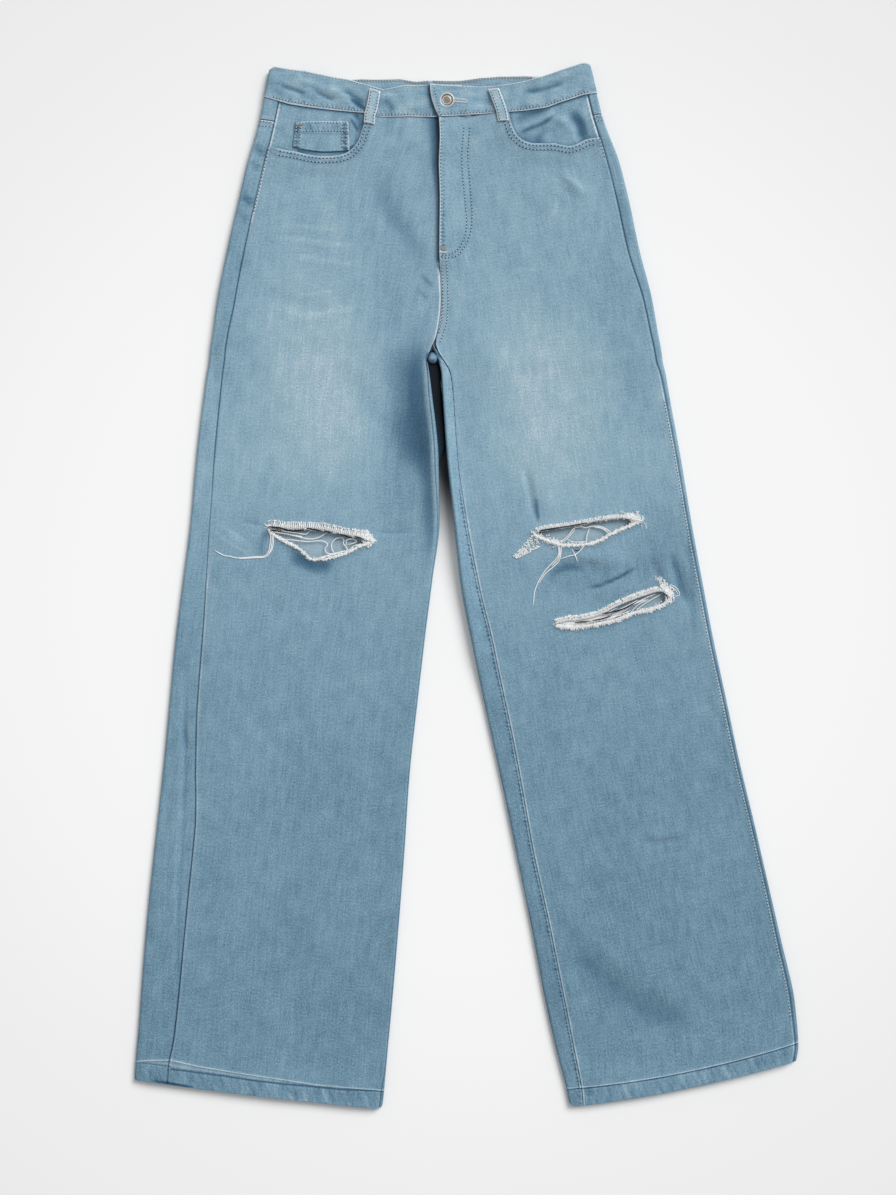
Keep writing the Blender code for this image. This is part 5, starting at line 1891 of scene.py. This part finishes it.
# Dark strands of painted shade, laid in the gaps under the rips' upper lips and between the slit's
# yarns
DARK_RIGHT_KNEE = [
    [(-207.6, 62), (-195.3, 60.8), (-187.5, 58.6), (-178.5, 57.6), (-170, 59)],
    [(-167.3, 60.6), (-160, 59.2), (-151.6, 57.6)],
    [(-149.5, 57.4), (-140.5, 55.9)],
    [(-136, 54.8), (-128, 52.8), (-120.3, 50.4)],
    [(-117, 51.8), (-111, 50), (-107, 48.6)],
    [(-205.5, 58.3), (-200, 57.7), (-194, 57.4)],
]
DARK_LEFT_KNEE = [
    [(75, 57.4), (90, 60), (105, 62.4), (120, 65), (128, 66.4)],
    [(112.5, 37.8), (116, 37.2), (119, 38)],
]
DARK_LEFT_SHIN = [
    [(142, -29.4), (152, -27.4), (161, -25), (169.6, -21.6), (177, -16.8)],
    [(113.5, -38.5), (121, -37.6), (129.3, -37.4)],
    [(131, -36.6), (142, -34.2), (152, -31.2)],
    [(205, -6.5), (208.5, -9), (210.5, -12.5)],
]


def rip_lines(name):
    """A rip's upper and lower edge as smooth lines."""
    return [curve(line, 1.0) for line in (RIPS[name].upper, RIPS[name].lower)]


def right_knee(cloth, both):
    upper, lower = rip_lines("right_knee")
    return (lip_yarns(cloth, upper[1:6], 3.6, 1, 1.8, 1.6)
            + lip_yarns(cloth, upper[5:-2], 6.2, 1, 2.1, 1.9)
            + fuzz(cloth, lower[4:], 2.6, -1, 420)
            + knots_along(cloth, lower[3:], 0.8, 330)
            + fuzz(cloth, upper[2:-2], 1.8, -1, 120)
            + fuzz(cloth, beside(upper, 6)[3:-2], 1.6, 1, 170)
            + knots(cloth, [(-120, 60), (-104, 58), (-95, 47), (-103, 40)], 230, 1.2)
            + hanging(both, LOOSE_RIGHT_KNEE, 3.6, 1.45)
            + hanging(both, DARK_RIGHT_KNEE, 7.6, 1.9, DEEP))


def left_knee(cloth, both):
    upper, lower = rip_lines("left_knee")
    above_end = [(161, 78), (180, 79), (188, 70), (188, 60), (176, 64), (164, 73)]
    return (lip_yarns(cloth, upper[4:-6], 3.2, 1, 1.6, 1.4)
            + fuzz(cloth, lower[3:], 3.0, -1, 400)
            + knots_along(cloth, lower[2:], 0.8, 260)
            + knots_along(cloth, lower[:40], 2.0, 120)
            + fuzz(cloth, beside(upper, 2.6)[3:-2], 1.8, 1, 260)
            + fuzz(cloth, upper[3:-2], 1.8, -1, 120)
            + knots(cloth, [(71, 56), (49, 31), (53, 28.5), (77, 41)], 240, 0.8)
            + knots(cloth, above_end, 170, 1.3)
            + hanging(both, LOOSE_LEFT_KNEE, 3.6, 1.45)
            + hanging(both, DARK_LEFT_KNEE, 7.4, 1.6, DEEP))


def left_shin(cloth, both):
    upper, lower = rip_lines("left_shin")
    at_end = [(197, 10), (204, 9), (218, -4), (217, -20), (209, -14)]
    return (lip_yarns(cloth, upper[2:-4], 3.4, 1, 1.6, 1.5)
            + lip_yarns(cloth, lower[2:-2], 2.8, -1, 1.5, 1.3)
            + fuzz(cloth, lower[2:], 4.2, -1, 420)
            + fuzz(cloth, beside(upper, 3.4)[2:-2], 2.6, 1, 480)
            + knots_along(cloth, lower[2:], 1.6, 160)
            + strands_between(both, upper, lower, 91, 172, 22)
            + knots(cloth, at_end, 190, 1.3)
            + hanging(both, LOOSE_LEFT_SHIN, 4.6, 1.3)
            + hanging(both, DARK_LEFT_SHIN, 7.4, 1.7, DEEP))


def frays(pieces, finishes):
    """The rips' frayed edges and hanging threads, and dark strands of painted shade in their gaps,
    by front.
    """
    made = {}
    for side, name, rips in (("right", "right_knee_fray", [right_knee]),
                             ("left", "left_leg_fray", [left_knee, left_shin])):
        both = surface(pieces["front_" + side], pieces["back_" + side])
        strands = [strand for frayed in rips for strand in frayed(both[:1], both)]
        made["front_" + side] = yarns(name, finishes, strands, 0.4)
    return made


# Finishes

class Number:
    """A number that changes over a surface, so that shader maths reads as plain sums."""

    def __init__(self, finish, socket):
        self.finish, self.socket = finish, socket

    def maths(self, operation, *others):
        made = self.finish.node("Math", {"operation": operation}, dict(enumerate(others)))
        return Number(self.finish, made.outputs[0])

    def __add__(self, other):
        return self.maths("ADD", self, other)

    def __sub__(self, other):
        return self.maths("SUBTRACT", self, other)

    def __rsub__(self, other):
        return self.maths("SUBTRACT", other, self)

    def __mul__(self, other):
        return self.maths("MULTIPLY", self, other)

    def sine(self):
        return self.maths("SINE", self)

    def between(self, low, high):
        made = self.finish.node("MapRange", {"interpolation_type": "SMOOTHSTEP"},
                                {"Value": self, "From Min": low, "From Max": high})
        return Number(self.finish, made.outputs["Result"])

    __radd__ = __add__
    __rmul__ = __mul__


class Finish:
    """A material with its nodes."""

    def __init__(self, name, fixed):
        self.material = bpy.data.materials.new(name)
        self.material.use_nodes = True
        self.tree = self.material.node_tree
        self.shader = self.tree.nodes["Principled BSDF"]
        for socket, value in fixed.items():
            self.shader.inputs[socket].default_value = value

    def node(self, kind, settings=None, sockets=None):
        """A node of a kind, its settings made first, its sockets given values or links."""
        made = self.tree.nodes.new("ShaderNode" + kind)
        for name, value in (settings or {}).items():
            setattr(made, name, value)
        for name, value in (sockets or {}).items():
            if isinstance(value, Number):
                value = value.socket
            if isinstance(value, bpy.types.NodeSocket):
                self.tree.links.new(value, made.inputs[name])
            else:
                made.inputs[name].default_value = value
        return made

    def number(self, node, output):
        return Number(self, node.outputs[output])

    def fact(self, name):
        """A fact that the cloth's mesh carries."""
        return self.number(self.node("Attribute", {"attribute_name": name}), "Fac")

    def length(self, vector):
        made = self.node("VectorMath", {"operation": "LENGTH"}, {0: vector})
        return self.number(made, "Value")

    def parts(self, vector):
        """The first two numbers of a vector."""
        made = self.node("SeparateXYZ", {}, {"Vector": vector})
        return self.number(made, 0), self.number(made, 1)

    def joined(self, *numbers):
        return self.node("CombineXYZ", {}, dict(enumerate(numbers))).outputs[0]

    def where(self):
        return self.node("TexCoord").outputs["Object"]

    def cloth(self, across, along):
        """The cloth's own place, in periods of so many millimetres."""
        place = self.node("UVMap", {"uv_map": "cloth"}).outputs[0]
        sockets = {"Vector": place, "Scale": (1000 / across, 1000 / along, 1)}
        return self.node("Mapping", {}, sockets).outputs[0]

    def place(self, period):
        """The object's place, in periods of so many millimetres."""
        sockets = {"Vector": self.where(), "Scale": (1000 / period,) * 3}
        return self.node("Mapping", {}, sockets).outputs[0]

    def noise(self, vector, detail):
        """Soft noise, from about -1 to 1."""
        made = self.node("TexNoise", {}, {"Vector": vector, "Scale": 1.0, "Detail": detail})
        return (self.number(made, "Fac") - 0.5) * 3.2

    def woven(self, across, along, detail):
        """Soft noise in the cloth's own place, its spots about so many millimetres in size."""
        return self.noise(self.cloth(across, along), detail)

    def shades(self, value, stops):
        """A colour along a row of stops."""
        made = self.node("ValToRGB", {}, {"Fac": value})
        ramp = made.color_ramp
        for position, color in stops[1:-1]:
            ramp.elements.new(position)
        for element, (position, color) in zip(ramp.elements, stops):
            element.position = position
            element.color = (*linear(color), 1)
        return made.outputs["Color"]

    def mix(self, first, second, share, blend="MIX"):
        made = self.node("Mix", {"data_type": "RGBA", "blend_type": blend},
                         {0: share, 6: first, 7: second})
        return made.outputs[2]

    def finish(self, color=None, roughness=None, height=None, bump_depth=0.1):
        """Links what changes over the surface."""
        links = {"Base Color": color, "Roughness": roughness}
        if height is not None:
            made = self.node("Bump", {}, {
                "Strength": 1.0, "Distance": bump_depth * MM, "Height": height})
            links["Normal"] = made.outputs[0]
        for name, value in links.items():
            if value is not None:
                socket = value.socket if isinstance(value, Number) else value
                self.tree.links.new(socket, self.shader.inputs[name])
        return self.material


def linear(color):
    """A colour given as 0 to 255 for each of red, green and blue, as the shader wants it."""
    shares = [value / 255 for value in color]
    return [share / 12.92 if share < 0.04045 else ((share + 0.055) / 1.055) ** 2.4
            for share in shares]


DENIM_SHADES = [
    (0.0, (82, 112, 134)), (0.25, (107, 140, 160)), (0.5, (131, 164, 183)),
    (0.75, (153, 181, 195)), (1.0, (188, 204, 212)),
]


def denim(name):
    """Washed blue denim: fine twill, uneven yarns, soft mottling, worn edges, puckers and painted
    shade.
    """
    cloth = Finish(name, {"Roughness": 0.9, "Specular IOR Level": 0.25})
    warp = cloth.woven(1.9, 30, 3)
    weft = cloth.woven(11, 1.9, 3)
    grain = cloth.woven(1.5, 1.7, 2)
    mottle = cloth.woven(15, 24, 3)
    wash = cloth.woven(60, 100, 2)
    across, along = cloth.parts(cloth.cloth(1, 1))
    twill = ((across + along * 0.6) * (2 * math.pi / 0.85)).sine()
    uneven = warp * 0.12 + weft * 0.08 + grain * 0.28 + mottle * 0.06 + wash * 0.05

    slanted = cloth.joined((across + along * 0.5) * 0.2, along * 0.03)
    twist = cloth.noise(slanted, 2) * cloth.fact("roped")
    # puckers: small dashes across the cloth, sunk in the bump and drawn as painted shade in their
    # troughs
    gather = (along * (2 * math.pi / 4.6) + mottle * 3.5 + across * 0.3).sine() * 0.5 + 0.5
    uneven_pull = cloth.woven(9, 7, 2).between(-0.7, 0.5)
    gather = gather * uneven_pull * cloth.fact("gathered")
    value = cloth.fact("faded") + uneven + twill * 0.035 + twist * 0.3
    color = cloth.shades(value, DENIM_SHADES)
    pale = cloth.shades(value + 0.1, [(0.0, (176, 196, 208)), (1.0, (224, 232, 236))])
    worn = cloth.fact("worn") * (grain * 0.2 + mottle * 0.3 + 0.95) + twist.between(0.6, 1.5) * 0.8
    color = cloth.mix(color, pale, worn.between(0.0, 0.9))
    # painted shade: the mesh's shaded fact and the puckers' troughs, with the dark of twisted hems,
    # multiplied in and, where deepest, mixed towards near black
    dark = cloth.fact("shaded") + gather * 0.8 + (twist * -1.0).between(0.5, 1.6) * 0.35
    color = cloth.mix(color, (0.30, 0.42, 0.52, 1), dark.between(0.0, 0.95), "MULTIPLY")
    color = cloth.mix(color, (*linear((14, 22, 30)), 1), dark.between(0.8, 1.9))
    height = twill * 0.5 + warp * 0.5 + weft * 0.5 + grain * 0.6 - gather * 3 + twist * 2
    return cloth.finish(color, height=height, bump_depth=0.08)


def wrong_side(name):
    """The inside of the cloth: paler, greyer, with the weft showing."""
    cloth = Finish(name, {"Roughness": 0.95, "Specular IOR Level": 0.2})
    warp = cloth.woven(1.6, 18, 2)
    weft = cloth.woven(12, 1.4, 2)
    value = warp * 0.12 + weft * 0.14 + 0.5
    color = cloth.shades(value, [(0.0, (116, 146, 162)), (0.5, (150, 174, 188)),
                                 (1.0, (186, 200, 208))])
    return cloth.finish(color, height=warp + weft, bump_depth=0.06)


def tarnished(name):
    """Silver-coloured metal: a bright rim and ring, brown in the grooves and at the middle."""
    x, y, radius, _ = button_size()
    metal = Finish(name, {"Metallic": 0.35})
    spots = metal.noise(metal.place(2.2), 4)
    away = metal.node("VectorMath", {"operation": "SUBTRACT"}, {
        0: metal.where(), 1: (x * MM, y * MM, 0)})
    flat = metal.node("VectorMath", {"operation": "MULTIPLY"}, {
        0: away.outputs[0], 1: (1000 / radius, 1000 / radius, 0)})
    out = metal.length(flat.outputs[0])
    color = metal.shades(out + spots * 0.04, [
        (0.0, (122, 116, 110)), (0.3, (146, 140, 134)), (0.42, (112, 106, 100)),
        (0.5, (196, 194, 190)), (0.6, (186, 184, 180)), (0.66, (84, 78, 74)),
        (0.74, (92, 86, 82)), (0.8, (206, 206, 204)), (1.0, (214, 214, 212))])
    rough = spots * 0.06 + 0.4
    return metal.finish(color, roughness=rough, height=spots, bump_depth=0.04)


# Floor, light and camera

LEFT_OF_MIDDLE = Vector((-0.0194, -0.0121, 0))   # what the camera looks straight down at
CAMERA_HEIGHT = 2.2
SHOWN_HEIGHT = 1.255      # metres of the floor in view, from top to bottom


def floor():
    """A pale table top, painted a little darker towards its edges where less light falls, and with
    a painted shadow under the fork.
    """
    paper = Finish("floor paper", {"Roughness": 0.9, "Specular IOR Level": 0.1})
    where = paper.where()
    # painted falloff of light: darker away from the middle
    color = paper.shades(paper.length(where), [(0.0, (247, 247, 247)), (0.4, (246, 246, 246)),
                                 (0.62, (239, 239, 239)), (0.8, (234, 234, 234))])
    x, y = (number * 1000 for number in paper.parts(where))
    # painted shadow on the floor in the gap between the legs under the fork
    slanted = paper.joined((x + y * 0.12 + 6) * (1 / 34), (y - 138) * (1 / 116))
    painted_fork_shadow = (1 - paper.length(slanted)).between(0.0, 0.82) * 0.97
    color = paper.mix(color, (*linear((22, 32, 42)), 1), painted_fork_shadow)
    paper.finish(color)
    bm = bmesh.new()
    bmesh.ops.create_grid(bm, x_segments=1, y_segments=1, size=4)
    mesh = mesh_of(bm, "floor")
    mesh.materials.append(paper.material)
    placed("floor", mesh, (0, 0, -0.3 * MM))


def window_light(name, towards, spread, power):
    """Even soft light from a wide window far away, in the direction given."""
    light = bpy.data.lights.new(name, "SUN")
    light.angle = math.radians(spread)
    light.energy = power
    made = placed(name, light, Vector(towards) * 2)
    made.rotation_euler = (-Vector(towards)).to_track_quat("-Z", "Y").to_euler()


def stage_and_camera():
    floor()
    window_light("soft_window", (0.46, 0.52, 0.62), 34, 2.55)
    world = bpy.data.worlds.new("room")
    world.use_nodes = True
    world.node_tree.nodes["Background"].inputs["Color"].default_value = (1, 1, 1, 1)
    world.node_tree.nodes["Background"].inputs["Strength"].default_value = 0.46
    scene = bpy.context.scene
    scene.world = world
    scene.view_settings.view_transform = "Standard"
    camera = bpy.data.cameras.new("camera")
    camera.sensor_width = 36
    camera.lens = camera.sensor_width / SHOWN_HEIGHT * CAMERA_HEIGHT
    camera.clip_end = 50
    scene.camera = placed("camera", camera, LEFT_OF_MIDDLE + Vector((0, 0, CAMERA_HEIGHT)))


# Putting it together

def cotton(name, color):
    """Cotton yarn, plied round its own length."""
    yarn = Finish(name, {"Roughness": 0.95, "Specular IOR Level": 0.2})
    fluff = yarn.noise(yarn.place(0.9), 2)
    dark = [value * 0.86 for value in color]
    made = yarn.shades(fluff * 0.5 + 0.6, [(0.0, dark), (1.0, color)])
    return yarn.finish(made, height=fluff, bump_depth=0.05)


# In the order of the pale, the shade and the brown thread, and of the bare, the shaded and the deep
# yarn; the shade thread and the shaded and deep yarns are painted shade
THREAD_COLORS = [("pale thread", (204, 215, 223)), ("needle marks", (62, 92, 116)),
                 ("brown thread", (168, 162, 156))]
YARN_COLORS = [("bare yarn", (250, 252, 252)), ("shaded yarn", (196, 202, 206)),
               ("deep shade", (44, 40, 40))]

FLAT = {
    # flat size of each cut, across and along, its area where it isn't a rectangle, and its slot
    "front": ((0.262, 1.04), 0.225, "faded_denim"),
    "back": ((0.34, 0.98), 0.275, "denim"),
    "yoke": ((0.23, 0.10), 0.0084, "denim"),
    "pocket_facing": ((0.115, 0.062), 0.0052, "denim"),
    "back_pocket": ((0.138, 0.152), 0.019, "denim"),
    "coin_pocket": ((0.060, 0.031), None, "denim"),
    "waistband": ((0.75, 0.036), None, "band_denim"),
    "belt_loop": ((0.0115, 0.043), None, "band_denim"),
}


def build():
    faded_denim = denim("faded denim")
    inside = wrong_side("denim wrong side")
    metal = tarnished("button metal")
    cloths = [faded_denim, inside]
    pieces = {}
    for side in SIDES:
        for kind in (front, back, yoke, facing, back_pocket):
            piece = kind(side, cloths)
            pieces[piece.name.replace("_cloth", "")] = piece
    pieces["coin_pocket"] = coin_pocket(cloths)
    pieces["waistband"] = waistband([faded_denim])
    for loop in LOOPS:
        pieces[loop.name] = belt_loop(loop, [faded_denim])
    sewn = sewing(pieces, [cotton(*color) for color in THREAD_COLORS])
    frayed = frays(pieces, [cotton(*color) for color in YARN_COLORS])
    crossing = {"back_right": seam_crossing(cloths)}
    for node, piece in pieces.items():
        kind = max((kind for kind in FLAT if node.startswith(kind)), key=len)
        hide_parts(node)
        [made[node] for made in (sewn, frayed, crossing) if node in made]
    cap = button(metal)
    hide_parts("button")


build()
stage_and_camera()
